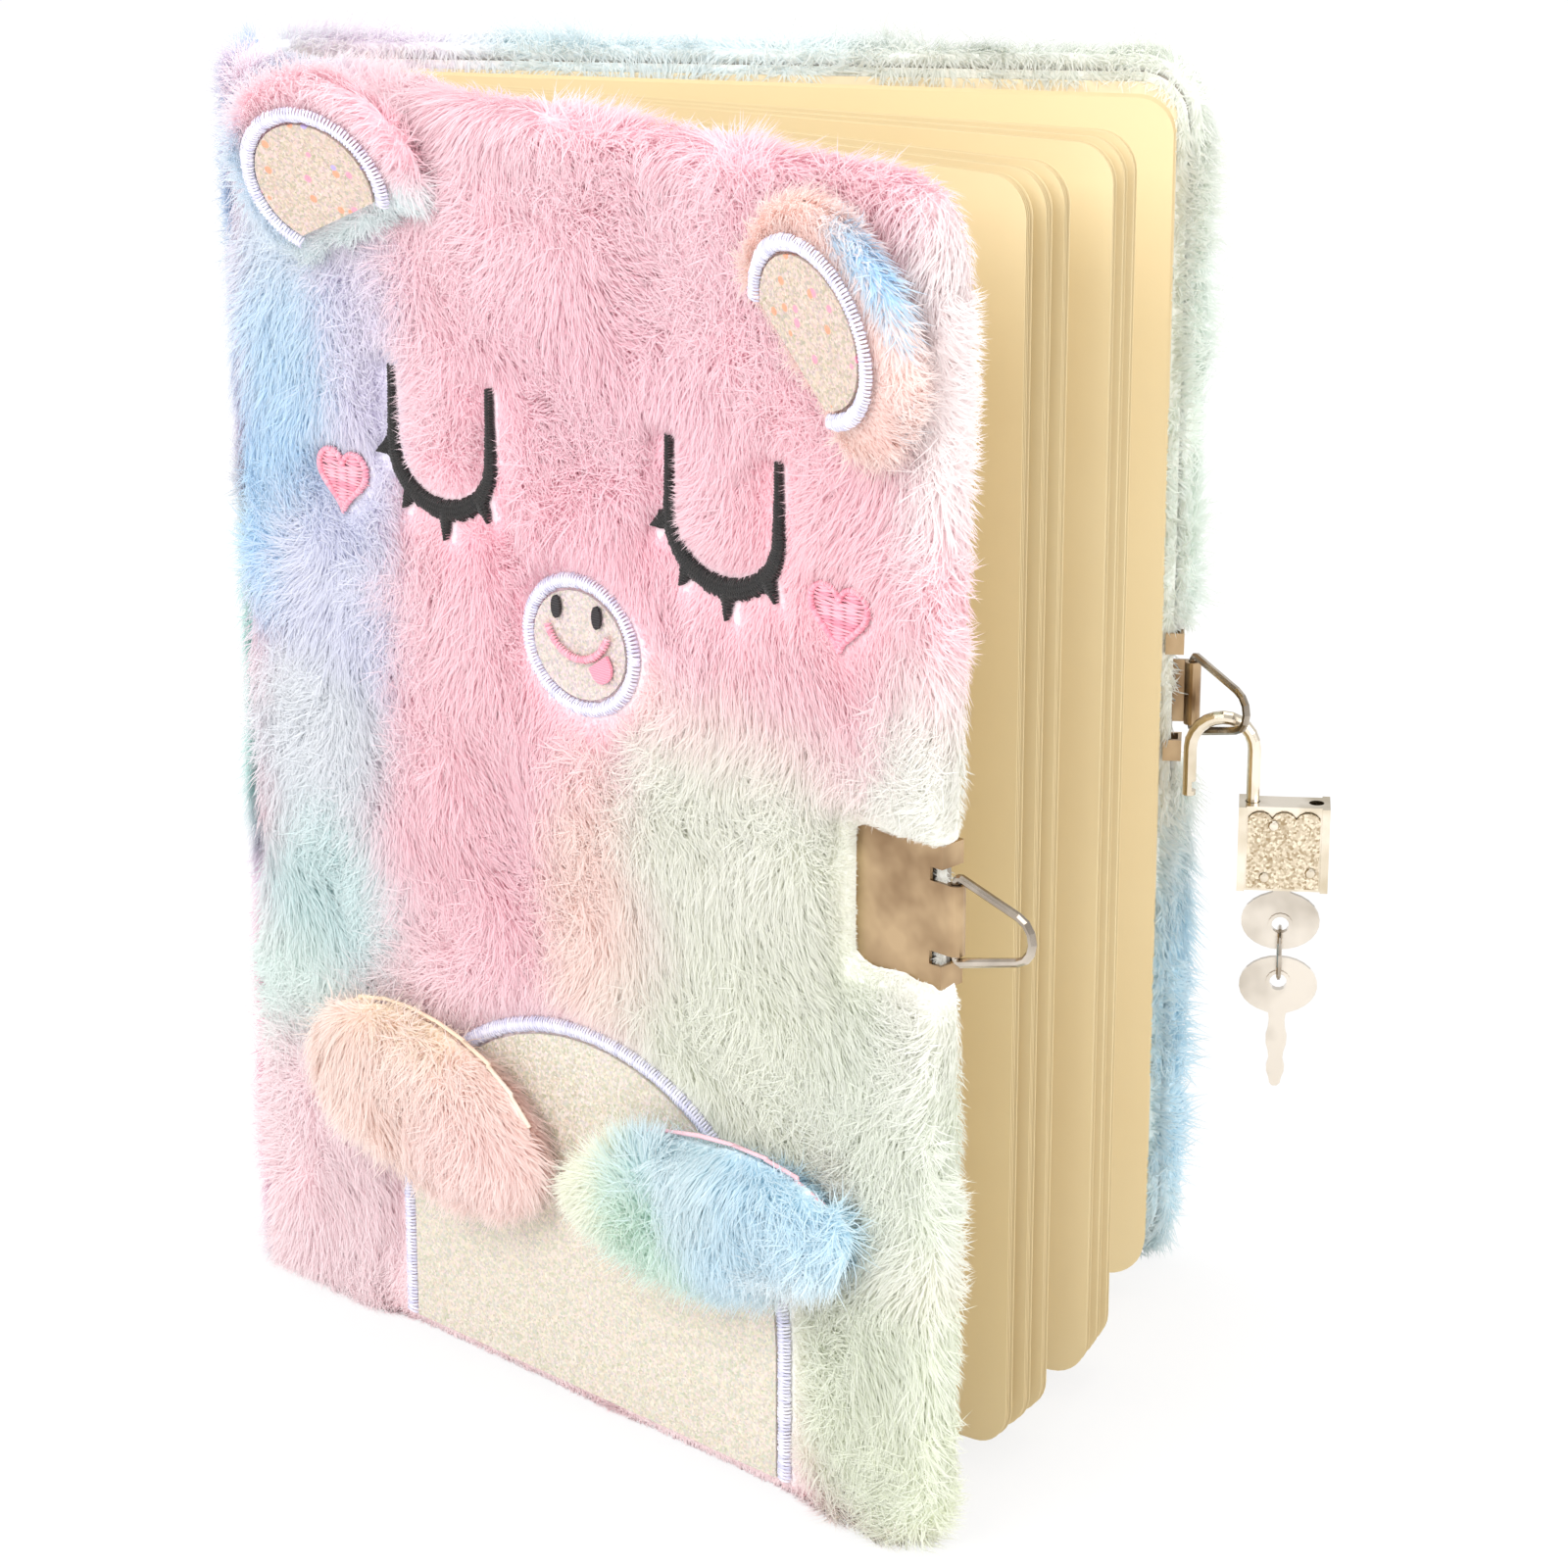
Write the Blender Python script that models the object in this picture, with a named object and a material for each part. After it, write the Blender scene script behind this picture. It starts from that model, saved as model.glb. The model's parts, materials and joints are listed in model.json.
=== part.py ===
"""A plush secret diary: two boards in one furry cover, fanned sections of leaves, a hasp with a
wire loop on each cover, and a small padlock with its keys. Metres, +Z up. It stands on its
tail edge, half open, with the back cover along X and the spine at -X. The origin is on the
foot of the back cover, below the middle of its board, at the root of the leaves."""

import math

import bmesh
import bpy
from mathutils import Matrix, Vector

# Clearances
GAP = 0.0003
WIRE_PLAY = 0.00015

# Leaves
PAGE_WIDTH = 0.147
PAGE_HEIGHT = 0.205
PAGE_CORNER = 0.006
REAR_LEAVES_THICK = 0.0035
SECTION_THICK = 0.00046
ENDPAPER_THICK = 0.0003
ENDPAPER_INSET = 0.0003

# Boards and spine
BOARD_THICK = 0.002
BOARD_CORNER = 0.0075
BOARD_SQUARE = 0.0015
BOARD_START = 0.0015
SPINE_BOARD_THICK = 0.0015
LINING_THICK = 0.0003
LINING_SHORT = 0.0014

# Plush cover
PLUSH_THICK = 0.0035
PLUSH_RIM = 0.0022
PLUSH_ROUNDING = 0.0022
PLUSH_CRUSHED = 0.0006
RIM_START = -0.0006

# How far the front cover is turned from its closed place
COVER_OPEN = math.radians(38.8)

# The sections of leaves from back to front: the name, the thickness, how far the section is
# turned from its closed place, and how far its spine edge is set in. The last follows the
# rounded back of the block, and leaves the sections in front room to open wide.
SECTIONS = (("rear_leaves", REAR_LEAVES_THICK, math.radians(4.5), 0.0010),
            ("middle_leaves_rear", SECTION_THICK, math.radians(16.3), 0.0026),
            ("middle_leaves", SECTION_THICK, math.radians(18.1), 0.00235),
            ("middle_leaves_fore", SECTION_THICK, math.radians(19.9), 0.00205),
            ("front_leaves_rear", SECTION_THICK, math.radians(26.4), 0.00165),
            ("front_leaves", SECTION_THICK, math.radians(28.4), 0.0009),
            ("front_leaves_fore", SECTION_THICK, math.radians(30.4), 0.0))

# Ears
EAR_HALF_WIDTH = 0.0220
EAR_HALF_LENGTH = 0.0200
EAR_CHORD = 0.012
EAR_THICK = 0.007
LEFT_EAR_LEAN = math.radians(24)
RIGHT_EAR_LEAN = math.radians(-46)
LEFT_EAR_FROM_SPINE = 0.0365
RIGHT_EAR_FROM_EDGE = 0.0242
LEFT_EAR_BELOW_TOP = 0.0222
RIGHT_EAR_BELOW_TOP = 0.0282
LEFT_EAR_LIFT = math.radians(24)
RIGHT_EAR_LIFT = math.radians(14)
EAR_PATCH_SCALE = 0.62
EAR_PATCH_STEP = 0.0002
PATCH_THICK = 0.0005
STITCH_WIDTH = 0.0026
STITCH_HEIGHT = 0.0009

# Face
FACE_SHIFT = 0.0034
EYE_SPACING = 0.0636
EYE_HALF_WIDTH = 0.0116
EYE_TOP = 0.1685
EYE_BEND = 0.157
EYE_BOTTOM = 0.1478
EYE_STROKE = 0.0020
EYE_STROKE_EXTRA = 0.0009
EYE_HEIGHT = 0.0011
LASHES = ((188, 0.0030), (232, 0.0034), (273, 0.0042), (318, 0.0036))
LASH_WIDTH = 0.0024
LASH_TIP = 0.0008
LASH_SPREAD = 0.8
LASH_FALL = 0.25
HEART_SPACING = 0.112
HEART_Z = 0.148
HEART_WIDTH = 0.0116
HEART_HEIGHT = 0.0110
HEART_RISE = 0.0008
NOSE_Z = 0.1312
NOSE_HALF_WIDTH = 0.0120
NOSE_HALF_HEIGHT = 0.0103
NOSTRIL_SPACING = 0.0092
NOSTRIL_RISE = 0.0055
NOSTRIL_HALF_WIDTH = 0.0010
NOSTRIL_HALF_HEIGHT = 0.0019
SMILE_RADIUS = 0.0075
SMILE_DROP = 0.0022
SMILE_STROKE = 0.0012
TONGUE_HALF_WIDTH = 0.0024
TONGUE_LENGTH = 0.0052
MARK_HEIGHT = 0.0005

# Belly patch and arms
BELLY_HALF_WIDTH = 0.0445
BELLY_FOOT = 0.0026
BELLY_STRAIGHT = 0.026
BELLY_TOP = 0.066
LEFT_ARM_END = 0.0185
LEFT_ARM_Z = 0.0515
LEFT_ARM_SHARE = 0.4675
LEFT_ARM_HALF_WIDTH = 0.0165
LEFT_ARM_TILT = math.radians(-9)
RIGHT_ARM_END = 0.0090
RIGHT_ARM_Z = 0.0520
RIGHT_ARM_SHARE = 0.5215
RIGHT_ARM_HALF_WIDTH = 0.0140
RIGHT_ARM_TILT = math.radians(-8)
ARM_THICK = 0.008
PAD_RINGS = (0.97, 0.85, 0.65, 0.35)

# Hasps
LOCK_Z = 0.1045
HASP_LENGTH = 0.0174
HASP_HALF_HEIGHT = 0.0113
HASP_METAL = 0.0006
HASP_INNER_LEG = 0.0031
NOTCH_TOP = 0.0076
NOTCH_DEPTH = 0.0024
BARREL_HALF_HEIGHT = 0.0055
BARREL_RADIUS = 0.0014
BARREL_OUT = 0.0002
LOOP_WIRE = 0.0007
LOOP_BEND = 0.0010
LOOP_SHOULDER = 0.0066
LOOP_TIP_RADIUS = 0.0036
LOOP_REACH = 0.0150
BACK_LOOP_TURN = math.radians(52)

# Padlock
CASE_WIDTH = 0.0154
CASE_HEIGHT = 0.0150
CASE_HALF_THICK = 0.0036
FACE_HALF_THICK = 0.0029
RAIL_WIDTH = 0.0013
PANEL_THICK = 0.0004
PANEL_HEIGHT = 0.0136
PANEL_FOOT = 0.0006
SHACKLE_WIRE = 0.00115
SHACKLE_HALF_SPAN = 0.0054
TOE_LENGTH = 0.0084
TOE_LIFT = 0.0009
HEEL_DEPTH = 0.0053
SHACKLE_TRAVEL = 0.0062
TOE_BORE_DEPTH = 0.0058
HEEL_BORE_FOOT = 0.0008
NOTCH_IN_TOE = 0.0007
SEAT_THICK = 0.0005
SPRING_WIRE = 0.00014
SPRING_TURNS = 6
PLUG_RADIUS = 0.0023
PLUG_HEIGHT = 0.0064
KEYWAY_WIDTH = 0.0039
KEYWAY_THICK = 0.0013
BLADE_WELL_RADIUS = 0.0021
BLADE_WELL_TOP = 0.0128
LATCH_LENGTH = 0.0022
LATCH_THICK = 0.0014
LATCH_DEPTH = 0.0012
LATCH_FOOT = 0.0106
LATCH_BITE = 0.00055
RIVETS = ((-0.00175, 0.0119), (-0.00305, 0.0026), (0.0047, 0.0036))
RIVET_HEAD = 0.00095
RIVET_SHANK = 0.0005
RIVET_RISE = 0.0003
RIVET_DEPTH = 0.0008
PADLOCK_OUT = 0.0069

# Keys
KEY_THICK = 0.0009
BOW_HALF_WIDTH = 0.0067
BOW_HEIGHT = 0.0103
BOW_HOLE_DROP = 0.0058
BOW_HOLE_RADIUS = 0.0015
BOW_COLLAR_RADIUS = 0.0021
BOW_COLLAR_RISE = 0.0003
BLADE_LENGTH = 0.0135
BLADE_WAVE = ((0.0, 0.00150), (0.10, 0.00135), (0.22, 0.00150), (0.30, 0.00180), (0.42, 0.00175),
              (0.52, 0.00135), (0.62, 0.00120), (0.72, 0.00155), (0.80, 0.00150), (0.88, 0.00110),
              (0.96, 0.00090))
BLADE_TIP = 0.0004
KEY_SHOULDER = 0.0012
RING_RADIUS = 0.0044
RING_WIRE = 0.0004

# Places that follow from the sizes. Depth runs along Y, from the back board's middle to the
# front of the closed diary at -Y.
BACK_INNER = -BOARD_THICK / 2
BACK_PAPER = BACK_INNER - GAP
BLOCK_BACK = BACK_PAPER - ENDPAPER_THICK - GAP
BLOCK_THICK = sum(section[1] for section in SECTIONS) + (len(SECTIONS) - 1) * GAP
BLOCK_FRONT = BLOCK_BACK - BLOCK_THICK
COVER_STACK = GAP + ENDPAPER_THICK + GAP + BOARD_THICK + GAP + PLUSH_THICK
HINGE_Y = BLOCK_FRONT - COVER_STACK
BACK_OUTER = BOARD_THICK / 2 + GAP + PLUSH_THICK
LINING_X = -GAP
SPINE_BOARD_X = LINING_X - LINING_THICK - GAP
SPINE_PLUSH_X = SPINE_BOARD_X - SPINE_BOARD_THICK - GAP
HINGE_X = SPINE_PLUSH_X - PLUSH_THICK
BOARD_FOOT = PLUSH_RIM + GAP
PAGE_FOOT = BOARD_FOOT + BOARD_SQUARE
BOARD_HEIGHT = PAGE_HEIGHT + 2 * BOARD_SQUARE
COVER_HEIGHT = BOARD_HEIGHT + 2 * (PLUSH_RIM + GAP)
BOARD_END = PAGE_WIDTH + BOARD_SQUARE

# Distances from the hinge line along a cover, and depths in from its outer face.
BOARD_U = BOARD_START - HINGE_X
BOARD_EDGE_U = BOARD_END - HINGE_X
FORE_U = BOARD_EDGE_U + GAP + PLUSH_RIM
PAGE_EDGE_U = PAGE_WIDTH - HINGE_X
BOARD_D = PLUSH_THICK + GAP
INNER_D = BOARD_D + BOARD_THICK
FACE_U = FORE_U / 2 + FACE_SHIFT
PLUSH_CORNER = BOARD_CORNER + GAP + PLUSH_RIM
HASP_D = PLUSH_THICK - PLUSH_CRUSHED - GAP - HASP_METAL
HASP_EDGE_U = BOARD_EDGE_U + GAP + PLUSH_CRUSHED + GAP + HASP_METAL
BARREL_U = HASP_EDGE_U + BARREL_OUT + BARREL_RADIUS
BARREL_D = HASP_D + BARREL_RADIUS


# Meshes
def material(name, colour, roughness, metallic=0.0):
    """A plain surface: colour as sRGB hex."""
    mat = bpy.data.materials.new(name)
    mat.use_nodes = True
    shader = mat.node_tree.nodes["Principled BSDF"]
    rgb = [int(colour[i : i + 2], 16) / 255 for i in (0, 2, 4)]
    linear = [c / 12.92 if c <= 0.04045 else ((c + 0.055) / 1.055) ** 2.4 for c in rgb]
    shader.inputs["Base Color"].default_value = (*linear, 1)
    shader.inputs["Roughness"].default_value = roughness
    shader.inputs["Metallic"].default_value = metallic
    mat.diffuse_color = (*linear, 1)
    return mat


def finish(name, bm, surface=None, parent=None):
    """The mesh as a named object, its faces pointing out."""
    bmesh.ops.recalc_face_normals(bm, faces=bm.faces)
    mesh = bpy.data.meshes.new(name)
    bm.to_mesh(mesh)
    bm.free()
    mesh.shade_smooth()
    mesh.set_sharp_from_angle(angle=math.radians(35))
    ob = bpy.data.objects.new(name, mesh)
    bpy.context.scene.collection.objects.link(ob)
    ob.parent = parent
    if surface:
        mesh.materials.append(surface)
    return ob


def empty(name, place, turn=None, parent=None):
    """A frame for the pieces that move together, on their joint's axis."""
    ob = bpy.data.objects.new(name, None)
    bpy.context.scene.collection.objects.link(ob)
    ob.parent = parent
    ob.matrix_local = Matrix.Translation(place) @ (turn or Matrix.Identity(4))
    return ob


def lathe_ring(bm, points):
    return [bm.verts.new(p) for p in points]


def skin(bm, rings, closed):
    """Faces between rings of corners, with flat ends unless the rings close up."""
    pairs = list(zip(rings, rings[1:]))
    if closed:
        pairs.append((rings[-1], rings[0]))
    for low, high in pairs:
        for i in range(len(low)):
            j = (i + 1) % len(low)
            bm.faces.new((low[i], low[j], high[j], high[i]))
    if not closed:
        bm.faces.new(list(reversed(rings[0])))
        bm.faces.new(rings[-1])


def prism(name, outline, near, far, surface=None, parent=None, along="Y", rounding=0.0):
    """An outline pushed from near to far: (x, z) corners along Y, or (x, y) along Z. The
    edges of the near face can be rounded."""
    bm = bmesh.new()
    put = (lambda a, b, d: (a, d, b)) if along == "Y" else (lambda a, b, d: (a, b, d))
    rings = [lathe_ring(bm, [put(a, b, d) for a, b in outline]) for d in (near, far)]
    skin(bm, rings, False)
    if rounding:
        edges = [e for e in bm.edges if e.verts[0] in rings[0] and e.verts[1] in rings[0]]
        bmesh.ops.bevel(bm, geom=edges, offset=rounding, segments=3, profile=0.5, affect="EDGES")
    return finish(name, bm, surface, parent)


def box(name, low, high, surface=None, parent=None):
    outline = rectangle(low[0], high[0], low[2], high[2])
    return prism(name, outline, low[1], high[1], surface, parent)


def rectangle(left, right, foot, top):
    return [(left, foot), (right, foot), (right, top), (left, top)]


def rounded_fore(left, right, foot, top, radius, steps=6):
    """A rectangle whose two corners on the right, the fore edge, are rounded."""
    points = [(left, foot)]
    for centre_z, start in ((foot + radius, -90), (top - radius, 0)):
        for k in range(steps + 1):
            angle = math.radians(start + 90 * k / steps)
            points.append((right - radius + radius * math.cos(angle),
                           centre_z + radius * math.sin(angle)))
    return points + [(left, top)]


def ellipse(centre, half_width, half_height, steps, turn=0.0):
    points = []
    for k in range(steps):
        angle = 2 * math.pi * k / steps
        a, b = half_width * math.cos(angle), half_height * math.sin(angle)
        points.append((centre[0] + a * math.cos(turn) - b * math.sin(turn),
                       centre[1] + a * math.sin(turn) + b * math.cos(turn)))
    return points


def round_section(radius, sides):
    return ellipse((0, 0), radius, radius, sides, math.pi / sides)


def domed_section(width, height):
    """A stitched cord's section: flat below, rounded above."""
    arc = [(width / 2 * math.cos(math.radians(a)), height * math.sin(math.radians(a)))
           for a in (25, 65, 115, 155)]
    return [(-width / 2, 0.0), (width / 2, 0.0)] + arc


def sweep(bm, path, section, closed, put):
    """A section carried along a path in one plane. Section corners are (across the path,
    out of the plane); put turns (a, b, out) into a place."""
    rings = []
    for i, here in enumerate(path):
        before = path[i - 1] if closed or i else here
        after = path[(i + 1) % len(path)] if closed or i + 1 < len(path) else here
        along = (Vector(after) - Vector(before)).normalized()
        across = Vector((along.y, -along.x))
        turn = 1.0
        if before != here and after != here:
            leg = (Vector(after) - Vector(here)).normalized()
            turn = max(0.5, along.dot(leg))
        corners = []
        for s, t in section:
            spot = Vector(here) + across * (s / turn)
            corners.append(put(spot.x, spot.y, t))
        rings.append(lathe_ring(bm, corners))
    skin(bm, rings, closed)


def wire(name, path, section, closed, put, surface=None, parent=None):
    bm = bmesh.new()
    sweep(bm, path, section, closed, put)
    return finish(name, bm, surface, parent)


def shape(ob, tools, operation):
    """The object cut by, or joined with, each tool in turn; the tools go."""
    for tool in tools:
        change = ob.modifiers.new(tool.name, "BOOLEAN")
        change.operation = operation
        change.object = tool
        change.solver = "EXACT"
        tool.hide_render = True
        tool.display_type = "WIRE"
    graph = bpy.context.evaluated_depsgraph_get()
    graph.update()
    mesh = bpy.data.meshes.new_from_object(ob.evaluated_get(graph))
    ob.modifiers.clear()
    old = ob.data
    surfaces = list(old.materials)
    ob.data = mesh
    mesh.name = ob.name
    mesh.materials.clear()
    for surface in surfaces:
        mesh.materials.append(surface)
    bpy.data.meshes.remove(old)
    for tool in tools:
        bpy.data.objects.remove(tool)
    mesh.shade_smooth()
    mesh.set_sharp_from_angle(angle=math.radians(35))
    return ob


def mirror_depth(ob, depth):
    """Turns a cover piece made for the front into its twin on the back cover, whose outer
    face is at this depth."""
    ob.data.transform(Matrix.Translation((HINGE_X, depth, 0)) @ Matrix.Scale(-1, 4, (0, 1, 0)))
    ob.data.flip_normals()
    return ob


def cylinder(name, centre, radius, near, far, sides, surface=None, parent=None, along="Y"):
    return prism(name, ellipse(centre, radius, radius, sides), near, far, surface, parent, along)


# Everything before this run goes
for old_object in list(bpy.data.objects):
    bpy.data.objects.remove(old_object)

PINK_PLUSH = material("pink plush", "F7BFCB", 0.95)
MINT_PLUSH = material("mint plush", "D3E3E0", 0.95)
PEACH_PLUSH = material("peach plush", "F8CDBE", 0.95)
BLUE_PLUSH = material("blue plush", "B4D8EC", 0.95)
GREY_BOARD = material("grey board", "9A948A", 0.9)
ENDPAPER = material("cream endpaper", "F2E2B8", 0.8)
LINING_CLOTH = material("spine lining cloth", "E4DCC6", 0.9)
PAGE_PAPER = material("cream paper", "F3DFAE", 0.8)
GLITTER = material("champagne glitter cloth", "E6DBCB", 0.5)
WHITE_THREAD = material("white satin thread", "E9E8F7", 0.45)
BLACK_THREAD = material("black satin thread", "1A1718", 0.5)
PINK_THREAD = material("pink satin thread", "F48FA6", 0.5)
NICKEL = material("nickel plate", "C9BFB2", 0.25, 1.0)
BRIGHT_STEEL = material("bright steel wire", "D6D2CC", 0.18, 1.0)
CHAMPAGNE = material("champagne nickel", "DCD0BC", 0.28, 1.0)
SPRING_STEEL = material("spring steel", "8E8C88", 0.35, 1.0)


# Leaves
def leaves(name, back, thick, turned, root):
    """One section of leaves, hinged in the middle of its own spine edge, which is rounded so
    that it turns inside its own room. Root is how far that edge is set in from the spine."""
    pivot = empty(name + "_pivot", (root + thick / 2, back - thick / 2, PAGE_FOOT),
                  Matrix.Rotation(-turned, 4, "Z"))
    outline = rounded_fore(-thick / 2, PAGE_WIDTH - root - thick / 2, 0, PAGE_HEIGHT,
                           PAGE_CORNER)
    block = prism(name, outline, -thick / 2, thick / 2, PAGE_PAPER, pivot)
    reach = thick
    arc = [(-thick / 2 * math.cos(math.radians(a)), thick / 2 * math.sin(math.radians(a)))
           for a in range(-90, 91, 30)]
    profile = [(0, -reach)] + arc + [(0, reach), (-reach, reach), (-reach, -reach)]
    cutter = prism(name + "_cutter", profile, -BOARD_SQUARE, PAGE_HEIGHT + BOARD_SQUARE,
                   parent=pivot, along="Z")
    bpy.context.view_layer.update()
    return shape(block, [cutter], "DIFFERENCE")


section_back = BLOCK_BACK
for section_name, section_thick, section_turn, section_root in SECTIONS:
    leaves(section_name, section_back, section_thick, section_turn, section_root)
    section_back -= section_thick + GAP


# Covers. A cover piece is made in its own frame: X from the hinge line to the fore edge, Y in
# from the outer face of the plush.
cover = empty("front_cover_pivot", (HINGE_X, HINGE_Y, 0), Matrix.Rotation(-COVER_OPEN, 4, "Z"))
bpy.context.view_layer.update()


def hasp_bed(name, parent):
    """The room that the hasp presses into the plush, over the fore edge."""
    left = HASP_EDGE_U - HASP_LENGTH - GAP
    floor = PLUSH_THICK - PLUSH_CRUSHED
    rim = BOARD_EDGE_U + GAP + PLUSH_CRUSHED
    far = INNER_D + BOARD_THICK
    low, high = LOCK_Z - HASP_HALF_HEIGHT - GAP, LOCK_Z + HASP_HALF_HEIGHT + GAP
    face = box(name + "_face", (left, -PLUSH_THICK, low), (FORE_U + GAP, floor, high),
               parent=parent)
    edge = box(name + "_edge", (rim, -PLUSH_THICK, low), (FORE_U + GAP, far, high),
               parent=parent)
    return [face, edge]


def plush_cover(name, surface, parent):
    """The furry cloth of one cover: a flat face, turned over the board at head, tail and
    fore edge, and cut at 45 degrees where it meets the spine."""
    outline = rounded_fore(0, FORE_U, 0, COVER_HEIGHT, PLUSH_CORNER)
    cloth = prism(name, outline, 0, INNER_D, surface, parent, rounding=PLUSH_ROUNDING)
    over = BOARD_THICK
    pocket = prism(name + "_pocket",
                   rounded_fore(-over, BOARD_EDGE_U + GAP, PLUSH_RIM, COVER_HEIGHT - PLUSH_RIM,
                                BOARD_CORNER + GAP),
                   PLUSH_THICK, INNER_D + over, parent=parent)
    joint = box(name + "_joint", (-over, PLUSH_THICK, -over),
                (RIM_START - HINGE_X, INNER_D + over, COVER_HEIGHT + over), parent=parent)
    far = PLUSH_THICK + over
    wedge = [(GAP / 2 - over, -over), (GAP / 2 + far, far), (-2 * over, far), (-2 * over, -over)]
    mitre = prism(name + "_mitre", wedge, -over, COVER_HEIGHT + over, parent=parent, along="Z")
    bpy.context.view_layer.update()
    return shape(cloth, [pocket, joint, mitre] + hasp_bed(name, parent), "DIFFERENCE")


def cover_board(name, parent):
    outline = rounded_fore(BOARD_U, BOARD_EDGE_U, BOARD_FOOT, BOARD_FOOT + BOARD_HEIGHT,
                           BOARD_CORNER)
    return prism(name, outline, BOARD_D, INNER_D, GREY_BOARD, parent)


def cover_endpaper(name, parent):
    near = INNER_D + GAP
    outline = rounded_fore(BOARD_U, PAGE_EDGE_U - ENDPAPER_INSET, PAGE_FOOT,
                           PAGE_FOOT + PAGE_HEIGHT, PAGE_CORNER)
    return prism(name, outline, near, near + ENDPAPER_THICK, ENDPAPER, parent)


def hasp_plate(name, parent):
    """Sheet metal folded over the fore edge in two strips, with a tab between them that is
    rolled into the barrel of the loop."""
    left = HASP_EDGE_U - HASP_LENGTH
    face = HASP_D
    back = INNER_D + GAP + HASP_METAL
    low, high = LOCK_Z - HASP_HALF_HEIGHT, LOCK_Z + HASP_HALF_HEIGHT
    plate = box(name, (left, face, low), (HASP_EDGE_U, face + HASP_METAL, high), NICKEL, parent)
    joins, cuts = [], []
    for side in (-1, 1):
        near, far = sorted((LOCK_Z + side * NOTCH_TOP, LOCK_Z + side * HASP_HALF_HEIGHT))
        strip = [(HASP_EDGE_U - HASP_METAL, face), (HASP_EDGE_U, face), (HASP_EDGE_U, back),
                 (HASP_EDGE_U - HASP_INNER_LEG, back),
                 (HASP_EDGE_U - HASP_INNER_LEG, back - HASP_METAL),
                 (HASP_EDGE_U - HASP_METAL, back - HASP_METAL)]
        joins.append(prism(name + "_strip", strip, near, far, parent=parent, along="Z"))
        near, far = sorted((LOCK_Z + side * BARREL_HALF_HEIGHT, LOCK_Z + side * NOTCH_TOP))
        cuts.append(box(name + "_notch", (HASP_EDGE_U - NOTCH_DEPTH, face - GAP, near),
                        (HASP_EDGE_U + GAP, face + HASP_METAL + GAP, far), parent=parent))
    low, high = LOCK_Z - BARREL_HALF_HEIGHT, LOCK_Z + BARREL_HALF_HEIGHT
    joins.append(box(name + "_tab", (HASP_EDGE_U - NOTCH_DEPTH - GAP, face, low),
                     (BARREL_U, face + HASP_METAL, high), parent=parent))
    joins.append(cylinder(name + "_barrel", (BARREL_U, BARREL_D), BARREL_RADIUS, low, high, 16,
                          parent=parent, along="Z"))
    cuts.append(cylinder(name + "_bore", (BARREL_U, BARREL_D), LOOP_WIRE + WIRE_PLAY,
                         low - GAP, high + GAP, 12, parent=parent, along="Z"))
    bpy.context.view_layer.update()
    shape(plate, joins, "UNION")
    return shape(plate, cuts, "DIFFERENCE")


plush_cover("front_plush", PINK_PLUSH, cover)
cover_board("front_board", cover)
cover_endpaper("front_endpaper", cover)
hasp_plate("front_hasp", cover)
mirror_depth(plush_cover("back_plush", MINT_PLUSH, None), BACK_OUTER)
mirror_depth(cover_board("back_board", None), BACK_OUTER)
mirror_depth(cover_endpaper("back_endpaper", None), BACK_OUTER)
mirror_depth(hasp_plate("back_hasp", None), BACK_OUTER)


# Spine
def spine_plush():
    """The furry cloth over the spine, cut at 45 degrees at the hinge and at the back cover."""
    front, back = HINGE_Y + GAP / 2, BACK_OUTER - GAP / 2
    inner = HINGE_X + PLUSH_THICK
    outline = [(HINGE_X, front), (inner, front + PLUSH_THICK), (inner, back - PLUSH_THICK),
               (HINGE_X, back)]
    cloth = prism("spine_plush", outline, 0, COVER_HEIGHT, PINK_PLUSH, along="Z")
    rims = []
    for foot in (0, COVER_HEIGHT - PLUSH_RIM):
        rims.append(box("spine_rim", (inner - GAP, BLOCK_FRONT - GAP, foot),
                        (SPINE_BOARD_X, BACK_INNER, foot + PLUSH_RIM)))
    return shape(cloth, rims, "UNION")


spine_plush()
box("spine_board", (SPINE_BOARD_X - SPINE_BOARD_THICK, BLOCK_FRONT - GAP, BOARD_FOOT),
    (SPINE_BOARD_X, BACK_INNER, BOARD_FOOT + BOARD_HEIGHT), GREY_BOARD)
box("spine_lining", (LINING_X - LINING_THICK, BLOCK_FRONT + LINING_SHORT, PAGE_FOOT),
    (LINING_X, BLOCK_BACK, PAGE_FOOT + PAGE_HEIGHT), LINING_CLOTH)


# Wire loops of the hasps
def loop_path():
    """One bent wire, seen flat: up through the barrel, out along the upper arm, round the
    tip and back along the lower arm."""
    path = [(0.0, -BARREL_HALF_HEIGHT / 2), (0.0, BARREL_HALF_HEIGHT / 2)]
    bend_z = LOOP_SHOULDER - LOOP_BEND
    for angle in (180, 150, 120, 90):
        a = math.radians(angle)
        path.append((LOOP_BEND + LOOP_BEND * math.cos(a), bend_z + LOOP_BEND * math.sin(a)))
    tip = LOOP_REACH - LOOP_TIP_RADIUS
    for angle in (75, 50, 25, 0, -25, -50, -75):
        a = math.radians(angle)
        path.append((tip + LOOP_TIP_RADIUS * math.cos(a), LOOP_TIP_RADIUS * math.sin(a)))
    for angle in (-90, -120, -150, -180):
        a = math.radians(angle)
        path.append((LOOP_BEND + LOOP_BEND * math.cos(a), -bend_z + LOOP_BEND * math.sin(a)))
    return path


def hasp_loop(name, parent):
    return wire(name, loop_path(), round_section(LOOP_WIRE, 8), True,
                lambda a, b, out: (a, out, b), BRIGHT_STEEL, parent)


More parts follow.
